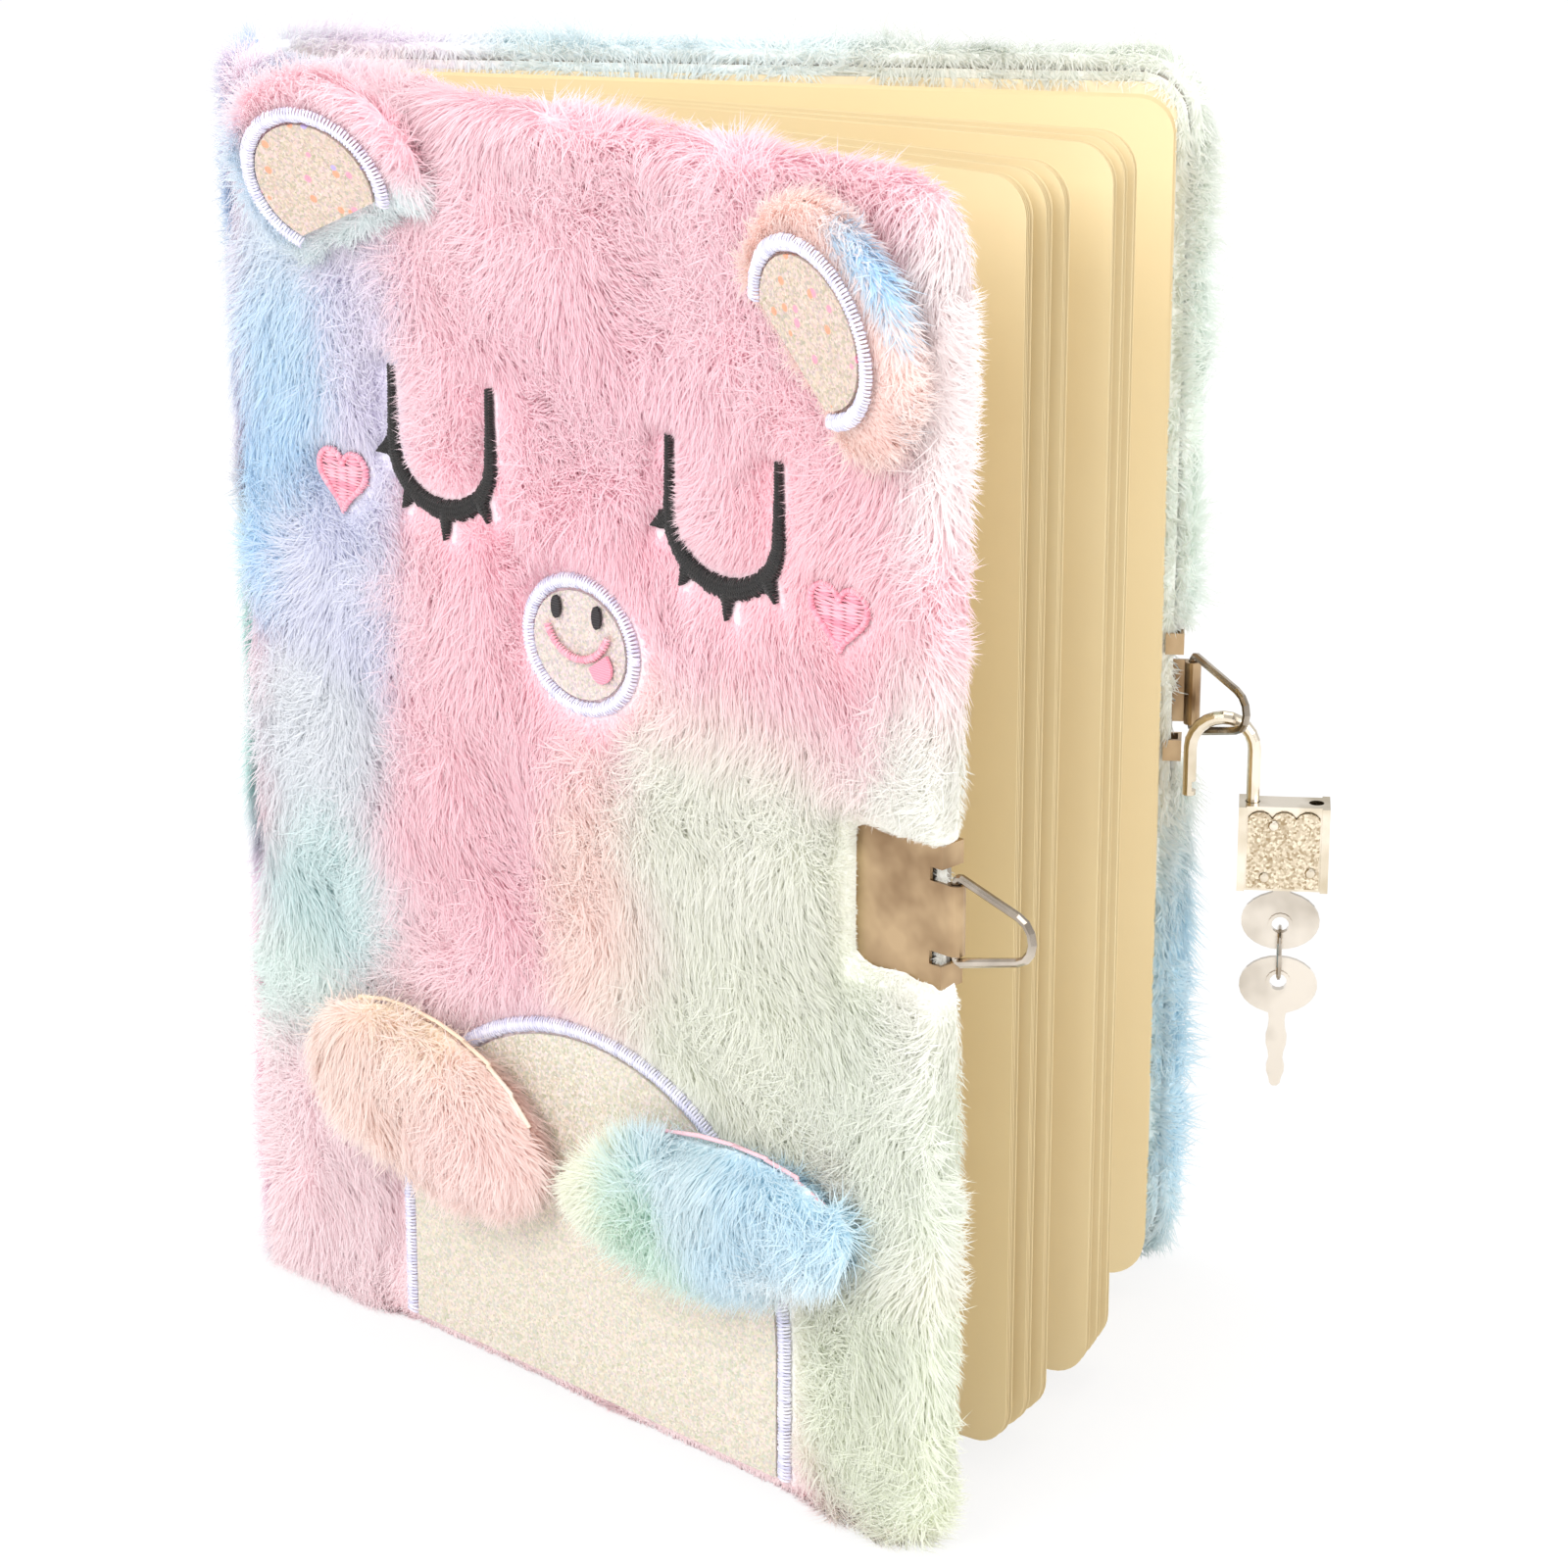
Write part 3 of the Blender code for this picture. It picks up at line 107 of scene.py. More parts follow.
def plain_object(name, data):
    """An object in the scene with this data, at the origin."""
    made = bpy.data.objects.new(name, data)
    bpy.context.scene.collection.objects.link(made)
    return made


scene = bpy.context.scene
scene.view_settings.view_transform = "Standard"
lens = bpy.data.cameras.new("photo_camera")
lens.lens = 104.26
lens.sensor_width = 36
lens.clip_start = 0.05
lens.clip_end = 20
camera = plain_object("photo_camera", lens)
camera.location = (0.1571, -0.7380, 0.3375)
camera.rotation_euler = (math.radians(90 - 18.72), 0, math.radians(5.79))
scene.camera = camera

world = bpy.data.worlds.new("soft_room")
world.use_nodes = True
scene.world = world
seen = add(world.node_tree, "ShaderNodeLightPath").outputs
glow = number(world.node_tree, "MAXIMUM", seen["Is Camera Ray"], seen["Is Transmission Ray"])
wire(world.node_tree, world.node_tree.nodes["Background"],
     {"Strength": ranged(world.node_tree, glow, 0.85, 1.0), "Color": (1, 1, 1, 1)})

floor_finish, tree, shader = finish_named("matt white backdrop paper")
wire(tree, shader, {"Base Color": linear("F6F6F6"), "Roughness": 0.9})
seen = add(tree, "ShaderNodeLightPath").outputs
lit = number(tree, "MULTIPLY", seen["Is Camera Ray"], 0.8)
white = add(tree, "ShaderNodeEmission", {"Color": (1, 1, 1, 1), "Strength": 1.0})
show(tree, add(tree, "ShaderNodeMixShader",
               {0: lit, 1: shader.outputs[0], 2: white.outputs[0]}).outputs[0])
ground = bpy.data.meshes.new("floor")
ground.from_pydata([(-6, -6, 0), (6, -6, 0), (6, 6, 0), (-6, 6, 0)], [], [(0, 1, 2, 3)])
ground.materials.append(floor_finish)
floor = plain_object("floor", ground)

for name, place, size, power in (("key_light", (-0.9, -1.5, 1.6), 1.4, 28.0),
                                 ("fill_light", (1.5, -1.1, 0.9), 1.2, 15.0),
                                 ("top_light", (0.1, 0.6, 1.9), 1.4, 11.0)):
    lamp = bpy.data.lights.new(name, "AREA")
    lamp.size = size
    lamp.energy = power
    light = plain_object(name, lamp)
    light.location = place
    light.rotation_mode = "QUATERNION"
    light.rotation_quaternion = (Vector((0.07, 0, 0.1)) - light.location).to_track_quat("-Z", "Y")


# Boards and spine board
# Grey board, 2 mm, glued between the plush and the endpapers. Only its edge shows, and only
# from inside: it has the dull speckle of pressed waste paper.
def noise(tree, where, scale, detail=2.0, output=0):
    """Soft noise over a place."""
    return add(tree, "ShaderNodeTexNoise",
               {"Vector": where, "Scale": scale, "Detail": detail}).outputs[output]


def mixed(tree, amount, first, second):
    """Two colours mixed. The amount is the second one's share."""
    return add(tree, "ShaderNodeMix", {"Factor": amount, "A": first, "B": second},
               data_type="RGBA").outputs[2]


def give(material, *nodes):
    """The nodes of the frame get this finish."""
    for name in nodes:
        mesh = frame["nodes"][name].data
        mesh.materials.clear()
        mesh.materials.append(material)


grey_board, tree, shader = finish_named("pressed grey board")
specks = noise(tree, add(tree, "ShaderNodeTexCoord").outputs["Object"], 900.0, 4.0)
wire(tree, shader, {"Base Color": mixed(tree, specks, linear("8A847A"), linear("B0AAA0")),
                    "Roughness": 0.9})
give(grey_board, "back_board", "front_board", "spine_board")


# Endpapers and spine lining
# Cream paper pasted over the inside of each board, and a strip of open woven cloth inside the
# spine. The paper is plain and matt, with the faint cloudiness of uncoated stock.
def bumped(tree, height, strength, distance):
    """A normal that follows this height."""
    return add(tree, "ShaderNodeBump",
               {"Height": height, "Strength": strength, "Distance": distance}).outputs[0]


def paper(name, light, dark, cloud):
    """Uncoated paper: faint clouds of pulp, and a fine tooth that only shows in raking light."""
    made, tree, shader = finish_named(name)
    where = add(tree, "ShaderNodeTexCoord").outputs["Object"]
    pulp = noise(tree, where, cloud, 5.0)
    tooth = noise(tree, where, 2500.0)
    wire(tree, shader, {"Base Color": mixed(tree, pulp, linear(dark), linear(light)),
                        "Normal": bumped(tree, tooth, 0.06, 0.0002),
                        "Roughness": 0.75, "Specular IOR Level": 0.25})
    return made


give(paper("cream endpaper stock", "F3E6C8", "EEDEBB", 40.0), "front_endpaper", "back_endpaper")
give(paper("unbleached woven lining", "E9E0CA", "D8CDB4", 600.0), "spine_lining")


# Leaves
# Seven sections of cream leaves sewn at the spine, in three groups. Each leaf is a sheet with
# rounded corners at the fore edge, and the leaves of a section stand slightly apart.
leaf_width = 0.147
leaf_height = 0.205
leaf_corner = 0.006
leaf_thick = 0.00008
leaf_start = 0.0002
leaf_uneven = 0.0003
packing = 0.96


def mesh_from(name, form):
    """A mesh from a form that was built up. The form is freed."""
    mesh = bpy.data.meshes.new(name)
    form.to_mesh(mesh)
    form.free()
    return mesh


def sheet_outline(left, right, foot, top, radius, steps=8):
    """A leaf's outline, with both corners at the fore edge rounded."""
    points = [(left, foot)]
    for centre, start in ((foot + radius, -90), (top - radius, 0)):
        for k in range(steps + 1):
            angle = math.radians(start + 90 * k / steps)
            points.append((right - radius + radius * math.cos(angle),
                           centre + radius * math.sin(angle)))
    return points + [(left, top)]


def bound_leaves(name, node, joint, turned, thick, count, spread):
    """A section of sheets from the pivot of its joint. Thick is the section's thickness, and
    spread the angle over which its sheets stand apart."""
    pivot = Vector(joints[joint]["pos_m"])
    low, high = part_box(node)
    form = bmesh.new()
    for k in range(count):
        share = (k + 0.5) / count - 0.5
        angle = -(turned - math.radians(spread) * share)
        turn = Matrix.Translation((pivot.x, pivot.y, low.z)) @ Matrix.Rotation(angle, 4, "Z")
        depth = share * (thick - leaf_thick) * packing
        shorter = leaf_uneven * ((k * 7) % 5) / 5
        outline = sheet_outline(leaf_start, leaf_width - pivot.x - shorter, shorter / 2,
                                leaf_height - shorter / 2, leaf_corner)
        back, front = [[form.verts.new(turn @ Vector((x, depth + side * leaf_thick / 2, z)))
                        for x, z in outline] for side in (-1, 1)]
        form.faces.new(back)
        form.faces.new(front[::-1])
        for i in range(len(outline)):
            after = (i + 1) % len(outline)
            form.faces.new((back[after], back[i], front[i], front[after]))
    bmesh.ops.recalc_face_normals(form, faces=form.faces)
    data = mesh_from(name, form)
    data.materials.append(leaf_paper)
    return plain_object(name, data)


leaf_paper = paper("cream writing paper", "EEDDB4", "E6D2A6", 25.0)
opened = -math.radians(joints["front_cover_hinge"]["range_deg"][0])
follow = {link["joint"]: link["ratio"] for link in frame["record"]["behaviour"]["couplings"]}
for group, parts, thick, count, spread in (
        ("rear", ("",), 0.0035, 22, 0.15),
        ("middle", ("_rear", "", "_fore"), 0.00046, 4, 0.7),
        ("front", ("_rear", "", "_fore"), 0.00046, 4, 0.8)):
    for part in parts:
        node = f"{group}_leaves{part}"
        joint = node + "_turn"
        sheets = bound_leaves(f"{group}_sheets{part}", node, joint, opened * follow[joint],
                              thick, count, spread)
        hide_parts(node)
        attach(sheets, f"{group}_group{part}")


# Plush of the covers and the spine
# Long pile plush, glued over the boards and turned in at the edges. The backing is a knitted
# cloth, and the pile is 8 mm of fine soft fibre in tie-dyed pastels, combed down and tufted.
hinge = Vector(joints["front_cover_hinge"]["pos_m"])
back_low, back_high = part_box("back_plush")
cover_height = back_high.z
cover_depth = back_high.y - back_low.y
cover_frame = Matrix.Translation(hinge) @ Matrix.Rotation(-opened, 4, "Z")
back_start = Matrix.Translation((hinge.x, back_high.y, 0))
back_frame = back_start @ Matrix.Scale(-1, 4, (0, 1, 0))
spine_frame = back_start @ Matrix.Rotation(math.radians(-90), 4, "Z")


def vector(tree, operation, *values):
    """The result of a sum on vectors, which for a dot product or a length is a number."""
    keys = (0, "Scale") if operation == "SCALE" else range(3)
    made = add(tree, "ShaderNodeVectorMath", dict(zip(keys, values)), operation=operation)
    return made.outputs["Value" if operation in ("DOT_PRODUCT", "LENGTH") else "Vector"]


def combined(tree, *values):
    """Up to three numbers as one vector."""
    return add(tree, "ShaderNodeCombineXYZ", dict(enumerate(values))).outputs[0]


def place_on(tree, where, origin, across, up):
    """Where a point lies on a piece: across it, up it."""
    offset = vector(tree, "SUBTRACT", where, origin)
    return (vector(tree, "DOT_PRODUCT", offset, across), vector(tree, "DOT_PRODUCT", offset, up))


def one_fibre(hex_colour):
    """The colour of one fibre. Light passes through several of them on its way out of the pile,
    which deepens the dye, so a single fibre is paler than the pile looks."""
    red, green, blue, _ = linear(hex_colour)
    return red ** 0.5, green ** 0.5, blue ** 0.5, 1


def dyed(tree, place, ground, spots, wander=0.022):
    """Tie-dye: soft spots of dye over a ground colour, their edges wandering. A spot is its
    place across and up, its half width and half height in millimetres, and its colour."""
    drift = noise(tree, place, 32.0, 3.0, "Color")
    centred = vector(tree, "SUBTRACT", drift, (0.5, 0.5, 0.5))
    moved = vector(tree, "MULTIPLY_ADD", centred, (wander, wander, 0), place)
    flat = vector(tree, "MULTIPLY", moved, (1, 1, 0))
    result = one_fibre(ground)
    for x, z, half_width, half_height, tint in spots:
        away = vector(tree, "SUBTRACT", flat, (x / 1000, z / 1000, 0))
        scaled = vector(tree, "DIVIDE", away, (half_width / 1000, half_height / 1000, 1))
        amount = ranged(tree, vector(tree, "LENGTH", scaled), 1.0, 0.0, 0.45, 1.15,
                        interpolation_type="SMOOTHSTEP")
        result = mixed(tree, amount, result, one_fibre(tint))
    return result


def pile_finish(name, ground, spots, pale=0.35):
    """Dyed pile: silky fibres that let much of the light through. Painted shade makes each fibre a
    touch deeper at its root, in the partings, and a painted highlight makes it paler at its tip.
    Pale is how far the painted highlight takes the tips to white."""
    made, tree, shader = finish_named(name)
    root = add(tree, "ShaderNodeAttribute", attribute_name="root").outputs["Vector"]
    along = add(tree, "ShaderNodeAttribute", attribute_name="along").outputs["Fac"]
    colour = dyed(tree, root, ground, spots)
    # Towards the root the dye is a touch more saturated, painted shade of the pile's depth, and its value varies
    # at random per fibre.
    tint = ranged(tree, add(tree, "ShaderNodeSeparateXYZ", {0: root}).outputs[2], 0.98, 1.03)
    root_painted_shade_and_tone = add(tree, "ShaderNodeHueSaturation",
               {"Color": colour, "Saturation": 1.1, "Value": tint}).outputs[0]
    # Towards the tip the colour goes paler, towards white: a painted highlight.
    light = mixed(tree, pale, colour, linear("FFFFFF"))
    whole = mixed(tree, ranged(tree, along, 0.0, 1.0, 0.2), root_painted_shade_and_tone, light)
    wire(tree, shader, {"Base Color": whole, "Roughness": 0.6, "Specular IOR Level": 0.2})
    through = add(tree, "ShaderNodeBsdfTranslucent", {"Color": whole}).outputs[0]
    show(tree, add(tree, "ShaderNodeMixShader",
                   {0: 0.5, 1: shader.outputs[0], 2: through}).outputs[0])
    return made


def backing_finish(name, ground, spots, place):
    """The knitted backing under the pile, dyed with it: its loops are 0.8 mm apart."""
    made, tree, shader = finish_named(name)
    where = add(tree, "ShaderNodeTexCoord").outputs["Object"]
    spot = combined(tree, *place_on(tree, where, *place))
    loops = add(tree, "ShaderNodeTexVoronoi", {"Vector": spot, "Scale": 1250.0})
    wire(tree, shader, {"Base Color": dyed(tree, spot, ground, spots),
                        "Normal": bumped(tree, loops.outputs["Distance"], 0.4, 0.0003),
                        "Roughness": 0.95, "Specular IOR Level": 0.1})
    return made


def smoothed(mesh):
    for face in mesh.polygons:
        face.use_smooth = True
    return mesh


def fibre():
    """One fibre as a thin ribbon that bends over from +Z towards +X, one unit long and wide."""
    bend = math.radians(46)
    points, shares = [], []
    for share, width in ((0.0, 0.8), (0.5, 1.0), (1.0, 0.0)):
        x, z = (1 - math.cos(bend * share)) / bend, math.sin(bend * share) / bend
        for y in (-width / 2, width / 2) if width else (0,):
            points.append((x, y, z))
            shares.append(share)
    mesh = bpy.data.meshes.new("fibre")
    mesh.from_pydata(points, [], [(0, 2, 3, 1), (2, 4, 3)])
    mesh.attributes.new("along", "FLOAT", "POINT").data.foreach_set("value", shares)
    return smoothed(mesh)


def new_tree(name, wanted, result):
    """An empty tree of Geometry Nodes, with its inputs by name, kind and value."""
    tree = bpy.data.node_groups.new(name, "GeometryNodeTree")
    tree.is_modifier = True
    for label, kind, value in wanted:
        socket = tree.interface.new_socket(label, in_out="INPUT", socket_type="NodeSocket" + kind)
        if value is not None:
            socket.default_value = value
    tree.interface.new_socket(result, in_out="OUTPUT", socket_type="NodeSocketGeometry")
    return tree, add(tree, "NodeGroupInput").outputs


def chance(tree, seed, low=0.0, high=1.0):
    """A random number for each point."""
    return add(tree, "FunctionNodeRandomValue", {2: low, 3: high, "Seed": seed},
               data_type="FLOAT").outputs[1]


def marked(tree, points, name, value, kind):
    """The points with a named attribute."""
    return add(tree, "GeometryNodeStoreNamedAttribute",
               {"Geometry": points, "Name": name, "Value": value},
               data_type=kind, domain="POINT").outputs[0]


def named(tree, name, kind):
    """A named attribute of the points."""
    return add(tree, "GeometryNodeInputNamedAttribute", {"Name": name}, data_type=kind).outputs[0]


def form_of(tree, given):
    """The geometry of an object that is given to a tree."""
    return add(tree, "GeometryNodeObjectInfo", {"Object": given},
               transform_space="ORIGINAL").outputs["Geometry"]


def pile_tree():
    """Geometry Nodes that grow the pile on a carrier: fibres at random places, combed one way,
    swaying, drawn together in tufts, cropped round what is sewn on, and kept off the floor.
    The carrier's own attribute "trim" is the share of the fibre's length left there."""
    tree, given = new_tree("plush_pile", (
        ("Carrier", "Geometry", None), ("Sewn on", "Object", None), ("Fibre", "Object", None),
        ("Fibres per square metre", "Float", 8.0e6), ("Seed", "Int", 1),
        ("Comb", "Vector", (0, 0, -0.6)), ("Lean", "Float", 0.95),
        ("Fibre length", "Float", 0.0078), ("Fibre width", "Float", 0.00022),
        ("Tuft size", "Float", 0.006), ("Sway", "Float", 1.6), ("Origin", "Vector", (0, 0, 0)),
        ("Across", "Vector", (1, 0, 0)), ("Up", "Vector", (0, 0, 1)), ("From", "Float", -1.0),
        ("To", "Float", 1.0), ("Cropped within", "Float", 0.009),
        ("Bare within", "Float", 0.0004), ("Finish", "Material", None)), "Pile")
    spread = add(tree, "GeometryNodeDistributePointsOnFaces",
                 {"Mesh": given["Carrier"], "Density": given["Fibres per square metre"],
                  "Seed": given["Seed"]})
    place = add(tree, "GeometryNodeInputPosition").outputs[0]
    over, rise = place_on(tree, place, given["Origin"], given["Across"], given["Up"])
    root = combined(tree, over, rise, chance(tree, 3))

    # Only this band of the cover, and none where something is sewn on.
    near = add(tree, "GeometryNodeProximity",
               {"Geometry": form_of(tree, given["Sewn on"]), "Sample Position": place},
               target_element="FACES").outputs["Distance"]
    bare = number(tree, "LESS_THAN", near, given["Bare within"])
    below = number(tree, "LESS_THAN", rise, given["From"])
    above = number(tree, "GREATER_THAN", rise, given["To"])
    gone = number(tree, "MAXIMUM", number(tree, "MAXIMUM", below, above), bare)
    rooted = marked(tree, spread.outputs["Points"], "root", root, "FLOAT_VECTOR")
    upright = marked(tree, rooted, "out", spread.outputs["Normal"], "FLOAT_VECTOR")
    kept = add(tree, "GeometryNodeDeleteGeometry", {"Geometry": upright, "Selection": gone},
               domain="POINT")
    out = named(tree, "out", "FLOAT_VECTOR")

    # The way the tip goes: combed, swaying over the cloth, drawn towards its tuft.
    tuft_scale = number(tree, "DIVIDE", 1.0, given["Tuft size"])
    tuft = add(tree, "ShaderNodeTexVoronoi", {"Vector": place, "Scale": tuft_scale})
    towards = vector(tree, "SUBTRACT", tuft.outputs["Position"], place)
    drawn = vector(tree, "SCALE", towards, number(tree, "MULTIPLY", tuft_scale, 0.35))
    breeze = vector(tree, "SUBTRACT", noise(tree, place, 46.0, 3.0, "Color"), (0.5, 0.5, 0.5))
    swayed = vector(tree, "SCALE", breeze, number(tree, "MULTIPLY", given["Sway"], 4.0))
    stray = add(tree, "FunctionNodeRandomValue",
                {0: (-0.6, -0.6, -0.6), 1: (0.6, 0.6, 0.6), "Seed": 11},
                data_type="FLOAT_VECTOR").outputs[0]
    way = given["Comb"]
    for push in (swayed, drawn, stray):
        way = vector(tree, "ADD", way, push)
    outward = vector(tree, "SCALE", out, vector(tree, "DOT_PRODUCT", way, out))
    flat_way = vector(tree, "NORMALIZE", vector(tree, "SUBTRACT", way, outward))
    lean = number(tree, "ADD", given["Lean"], chance(tree, 5, -0.25, 0.35))
    start = vector(tree, "ADD", out, vector(tree, "SCALE", flat_way, lean))
    stood = add(tree, "FunctionNodeAlignRotationToVector", {"Vector": start}, axis="Z")
    turned = add(tree, "FunctionNodeAlignRotationToVector",
                 {"Rotation": stood.outputs[0], "Vector": flat_way}, axis="X", pivot_axis="Z")

    # Its length, shorter near what is sewn on and where it is trimmed, and its own width.
    length = given["Fibre length"]
    for share in (ranged(tree, near, 0.08, 1.0, 0.0, given["Cropped within"]),
                  named(tree, "trim", "FLOAT"), chance(tree, 7, 0.6, 1.1)):
        length = number(tree, "MULTIPLY", length, share)
    planted = add(tree, "GeometryNodeInstanceOnPoints",
                  {"Points": kept.outputs[0], "Instance": form_of(tree, given["Fibre"]),
                   "Rotation": turned.outputs[0],
                   "Scale": combined(tree, length, given["Fibre width"], length)})
    real = add(tree, "GeometryNodeRealizeInstances", {0: planted.outputs[0]})
    parts = add(tree, "ShaderNodeSeparateXYZ",
                {0: add(tree, "GeometryNodeInputPosition").outputs[0]}).outputs
    standing = combined(tree, parts[0], parts[1], number(tree, "MAXIMUM", parts[2], 0.0002))
    grown = add(tree, "GeometryNodeSetPosition",
                {"Geometry": real.outputs[0], "Position": standing}).outputs[0]
    for name in ("out", "trim"):
        grown = add(tree, "GeometryNodeRemoveAttribute",
                    {"Geometry": grown, "Name": name}).outputs[0]
    dressed = add(tree, "GeometryNodeSetMaterial", {"Geometry": grown, "Material": given["Finish"]})
    add(tree, "NodeGroupOutput", {0: dressed.outputs[0]})
    return tree


fibre_piece = plain_object("fibre", fibre())
pile = pile_tree()


def evaluated(form, name):
    """The mesh that an object has after its modifiers. The object is removed."""
    graph = bpy.context.evaluated_depsgraph_get()
    mesh = bpy.data.meshes.new_from_object(form.evaluated_get(graph))
    mesh.name = name
    bpy.data.objects.remove(form)
    return mesh


def made_by(tree, name, data, values):
    """Runs a tree of Geometry Nodes on a mesh or curve and keeps the result as a plain mesh."""
    carrier = plain_object(name + "_carrier", data)
    modifier = carrier.modifiers.new("making", "NODES")
    modifier.node_group = tree
    for socket in tree.interface.items_tree:
        if socket.name in values and socket.in_out == "INPUT":
            modifier[socket.identifier] = values[socket.name]
    return plain_object(name, evaluated(carrier, name))


def joined(name, nodes, other=()):
    """The meshes of some nodes as one, for the pile to keep clear of."""
    form = bmesh.new()
    for source in [frame["nodes"][n].data for n in nodes] + list(other):
        form.from_mesh(source)
    return plain_object(name, mesh_from(name, form))


def soft_skin(name, node, voxel=0.0014, rounds=4):
    """The cloth of a plush piece as one form: its solid meshed evenly, each edge rounded over."""
    form = plain_object(name + "_form", frame["nodes"][node].data.copy())
    even = form.modifiers.new("even", "REMESH")
    even.mode = "VOXEL"
    even.voxel_size = voxel
    relaxed = form.modifiers.new("relaxed", "SMOOTH")
    relaxed.factor = 0.5
    relaxed.iterations = rounds
    mesh = evaluated(form, name)
    mesh.materials.clear()
    return smoothed(mesh)


def pile_carrier(skin, trimmed):
    """The part of a skin that has pile. Trimmed gives the share of the length that is left at a
    place with a normal, or 0 where there is none."""
    form = bmesh.new()
    form.from_mesh(skin)
    layer = form.verts.layers.float.new("trim")
    form.normal_update()
    for vertex in form.verts:
        vertex[layer] = trimmed(vertex.co, vertex.normal)
    bald = [face for face in form.faces if min(vertex[layer] for vertex in face.verts) <= 0]
    bmesh.ops.delete(form, geom=bald, context="FACES")
    return mesh_from(skin.name + "_carrier", form)


front_spots = (
    (60, 20, 150, 60, "FDE2E5"), (20, 180, 24, 60, "D9E6F5"), (16, 168, 18, 16, "BFDFF6"),
    (32, 170, 12, 40, "E4DEF2"), (9, 141, 17, 26, "B0DAF8"), (24, 127, 18, 30, "DADCF0"),
    (17, 103, 22, 20, "E2E6EC"), (19, 76, 24, 20, "D2EAEA"), (9, 56, 20, 16, "DFF0EA"),
    (20, 24, 34, 28, "FFE2E7"), (54, 212, 40, 12, "FDD9E1"), (90, 190, 60, 30, "FECFDA"),
    (84, 167, 40, 26, "FDCAD7"), (75, 145, 30, 18, "FDC3D1"), (60, 100, 26, 36, "FDC9D4"),
    (148, 160, 40, 36, "FDC3CF"), (138, 136, 30, 16, "FCCAD4"), (112, 124, 26, 12, "FCDBDA"),
    (84, 90, 16, 28, "FDDDD3"), (128, 98, 40, 36, "E9EADA"), (108, 108, 22, 18, "ECECDD"),
    (116, 70, 32, 30, "EAECDA"), (153, 71, 26, 34, "E4E9D8"), (148, 29, 30, 26, "E4E9D2"),
    (153, 12, 30, 16, "E4E9CF"), (154, 112, 12, 40, "EFEEE4"), (160, 190, 12, 40, "F8EAE9"))
back_spots = (
    (150, 200, 40, 30, "E6EBE0"), (120, 207, 26, 12, "D3D8CE"), (60, 207, 40, 18, "D9E8EC"),
    (90, 150, 50, 40, "F7CEDA"), (40, 120, 40, 40, "C3E7E4"), (120, 100, 44, 34, "F4EDD8"),
    (155, 150, 20, 40, "E6F0E6"), (155, 40, 30, 40, "B9DCEC"), (60, 50, 50, 40, "CFD2EE"),
    (20, 190, 30, 30, "EBD2E8"))
spine_spots = ((4, 180, 20, 40, "A9D3F2"), (10, 110, 20, 40, "BFE6E0"), (10, 40, 20, 40, "F7AEC8"))
up = (0, 0, 1)
across_front = tuple(cover_frame.to_3x3() @ Vector((1, 0, 0)))
out_front = cover_frame.to_3x3() @ Vector((0, -1, 0))
front_place = (tuple(hinge), across_front, up)
back_place = ((hinge.x, 0, 0), (1, 0, 0), up)
spine_place = ((hinge.x, back_high.y, 0), (0, -1, 0), up)
plate_inner, plate_outer, plate_foot, plate_top = 0.1388, 0.1555, 0.0930, 0.1160
fold_width = 0.004


def hasp_place(where):
    """The patch of a cover's face that its hasp takes, for the pile to keep clear of."""
    corners = [where @ Vector((u, 0, z)) for u, z in (
        (plate_inner, plate_foot), (plate_outer, plate_foot),
        (plate_outer, plate_top), (plate_inner, plate_top))]
    patch = bpy.data.meshes.new("hasp_place")
    patch.from_pydata(corners, [], [(0, 1, 2, 3)])
    return patch


def cover_trim(where, rim, lip):
    """Full pile on a cover's face, shorter round its rim and on the lip beside the pages, and
    none under the board or inside the fold at the spine."""
    local = where.inverted()
    turn = local.to_3x3()

    def trimmed(spot, normal):
        inward = (turn @ normal).y
        u, depth, _ = local @ spot
        if inward > 0.5 and depth < 0.8 * cover_depth or inward > -0.5 and u < fold_width:
            return 0.0
        if inward < 0:
            return rim + (1 - rim) * min(1, -inward * 1.25)
        return rim + (lip - rim) * inward
    return trimmed


def turned_in(skin, side, where):
    """Adds the cloth that is turned in over the edge of a board to its skin, so that the pile
    goes on up to the endpaper."""
    local = where.inverted()
    rings = []
    for node, radius in ((f"{side}_board", 0.008), (f"{side}_endpaper", 0.007)):
        spots = [local @ vertex.co for vertex in frame["nodes"][node].data.vertices]
        rings.append(sheet_outline(0.010, max(spot.x for spot in spots),
                                   min(spot.z for spot in spots),
                                   max(spot.z for spot in spots), radius))
    board = frame["nodes"][f"{side}_board"].data
    depth = max((local @ vertex.co).y for vertex in board.vertices) + 0.00015
    both = bmesh.new()
    both.from_mesh(skin)
    outer, inner = [[both.verts.new(where @ Vector((u, depth, z))) for u, z in ring]
                    for ring in rings]
    inwards = where.to_3x3() @ Vector((0, 1, 0))
    for k in range(len(outer) - 1):
        face = both.faces.new((outer[k], outer[k + 1], inner[k + 1], inner[k]))
        face.normal_update()
        if face.normal.dot(inwards) < 0:
            face.normal_flip()
    both.to_mesh(skin)
    both.free()
    smoothed(skin)


